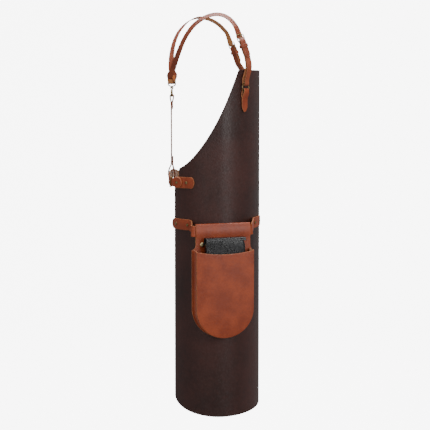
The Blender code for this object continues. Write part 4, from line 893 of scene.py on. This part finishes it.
bib_strap(
    "left", (0.1260, -0.0290, -0.0780), (0.217, -0.313, -0.925), (0.80, -0.60, 0.0),
    [(0.1190, -0.0145, -0.0430), (0.1150, -0.0040, -0.0300), (0.1100, 0.0118, -0.0150),
     (0.1060, 0.0314, -0.0039), (0.1040, 0.0530, 0.0022), (0.1030, 0.0735, 0.0030),
     (0.0970, 0.0970, -0.0060), (0.0880, 0.1160, -0.0240), (0.0740, 0.1310, -0.0480),
     (0.0580, 0.1410, -0.0800), (0.0380, 0.1450, -0.1200), (0.0230, 0.1430, -0.1520)],
    [(0.75, 0.55, -0.25), (0.80, 0.40, -0.40), (0.84, 0.20, -0.50), (0.86, 0.05, -0.50),
     (0.90, 0.00, -0.40), (0.95, 0.00, -0.20), (0.95, 0.10, 0.10), (0.92, 0.22, 0.30),
     (0.84, 0.38, 0.34), (0.74, 0.56, 0.30), (0.62, 0.74, 0.20), (0.54, 0.83, 0.08)],
    [(0.1468, -0.0540, -0.1430), (0.1458, -0.0738, -0.1715)], -1.0)

# ---- Snap hook at the nape ----
# Cast brass: a bow that both shoulder straps loop round, a barrel that swivels in it, and a
# hook with a sprung gate.
BARREL_Z = -0.2060
bow = [(0.0112, 0.0), (0.0130, -0.0020), (0.0127, -0.0095), (0.0050, -0.0135), (-0.0050, -0.0135),
       (-0.0127, -0.0095), (-0.0130, -0.0020), (-0.0112, 0.0), (-0.0040, 0.0), (0.0040, 0.0), (0.0112, 0.0)]
bow = smooth_path(bow, np.linspace(0, 1, 80)[:-1])
bow_path = BOW_AT + bow[:, :1] * BOW_BAR + bow[:, 1:] * np.array([0.0, 0.0, 1.0])
hook_parts = [("hook_bow", "apron", wire("nape_hook_bow", bow_path, BOW_R, BOW_CROSS, [BRASS], True))]
barrel = turned("nape_hook_barrel", [(0.0, 0.0036), (0.0040, 0.0036), (0.0050, 0.0032), (0.0052, 0.0026),
                                     (0.0052, 0.0012), (0.0047, 0.0009), (0.0047, 0.0004), (0.0052, 0.0001),
                                     (0.0052, -0.0008), (0.0046, -0.0016), (0.0, -0.0016)],
                (0.0, HOOK_Y, BARREL_Z), (0, 0, 1), [BRASS])
hook_parts.append(("hook_barrel", "hook", barrel))
shank = smooth_path([(-0.0030, -0.0042), (-0.0100, -0.0050), (-0.0142, -0.0090), (-0.0148, -0.0160),
                     (-0.0130, -0.0212), (-0.0090, -0.0230), (0.0000, -0.0230), (0.0090, -0.0230),
                     (0.0130, -0.0212), (0.0147, -0.0168)], np.linspace(0, 1, 50))
for node_name, body, points, radius in (
        ("hook_body", "hook", shank, 0.0022),
        ("hook_arm", "hook", np.array([(0.0030, -0.0042), (0.0080, -0.0037), (0.0142, -0.0031)]), 0.0018),
        ("hook_gate", "gate", np.array([(0.0136, -0.0057), (0.0141, -0.0107), (0.0146, -0.0161)]), 0.0016)):
    path = np.stack([points[:, 0], np.full(len(points), HOOK_Y), BARREL_Z + points[:, 1]], -1)
    hook_parts.append((node_name, body, wire("nape_" + node_name, path, radius, (0, 1, 0), [BRASS])))
for node_name, body, piece in hook_parts:
    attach(piece, body)
    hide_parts(node_name)

# ---- Back strap ----
# A narrow strap from the nape hook down the spine to the waist strap, doubled back on itself
# in a loop at each end.
main_y, tail_y = HOOK_Y + 0.0018, HOOK_Y - 0.0013
zig = [(tail_y, -0.2660), (tail_y, -0.2560), (tail_y - 0.0003, -0.2460), (HOOK_Y - 0.0040, -0.2370)]
zig += [(HOOK_Y - 0.0050 * np.cos(a), HOOK_LOW_Z + 0.0050 * np.sin(a)) for a in np.linspace(0, pi, 9)]
zig += [(HOOK_Y + 0.0046, -0.2370), (main_y + 0.0006, -0.2460), (main_y, -0.2560), (main_y, -0.2700),
        (main_y, -0.3000), (main_y, -0.3400), (main_y, -0.3800), (main_y, -0.4040), (main_y, -0.4200),
        (main_y + 0.0012, -0.4300), (0.1475, -0.4420), (0.1500, -0.4560), (0.1482, -0.4680), (0.1440, -0.4745),
        (0.1400, -0.4755), (0.1360, -0.4735), (0.1325, -0.4660), (0.1315, -0.4560), (0.1345, -0.4420),
        (tail_y - 0.0004, -0.4310), (tail_y, -0.4200), (tail_y, -0.4050)]
back = smooth_path(zig, stations(170, 0.02))
back_w = np.interp(back[:, 1], [-0.2600, -0.2400], [STRAP_W, 0.0160])
back_path = np.stack([np.zeros(len(back)), back[:, 0], back[:, 1]], -1)
back_strap = strap("spine_strap", back_path, (1, 0, 0), back_w, 0.0026, STRAP, (0.0, 1.0, 0.0))
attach(back_strap, "apron")
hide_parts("back_strap")
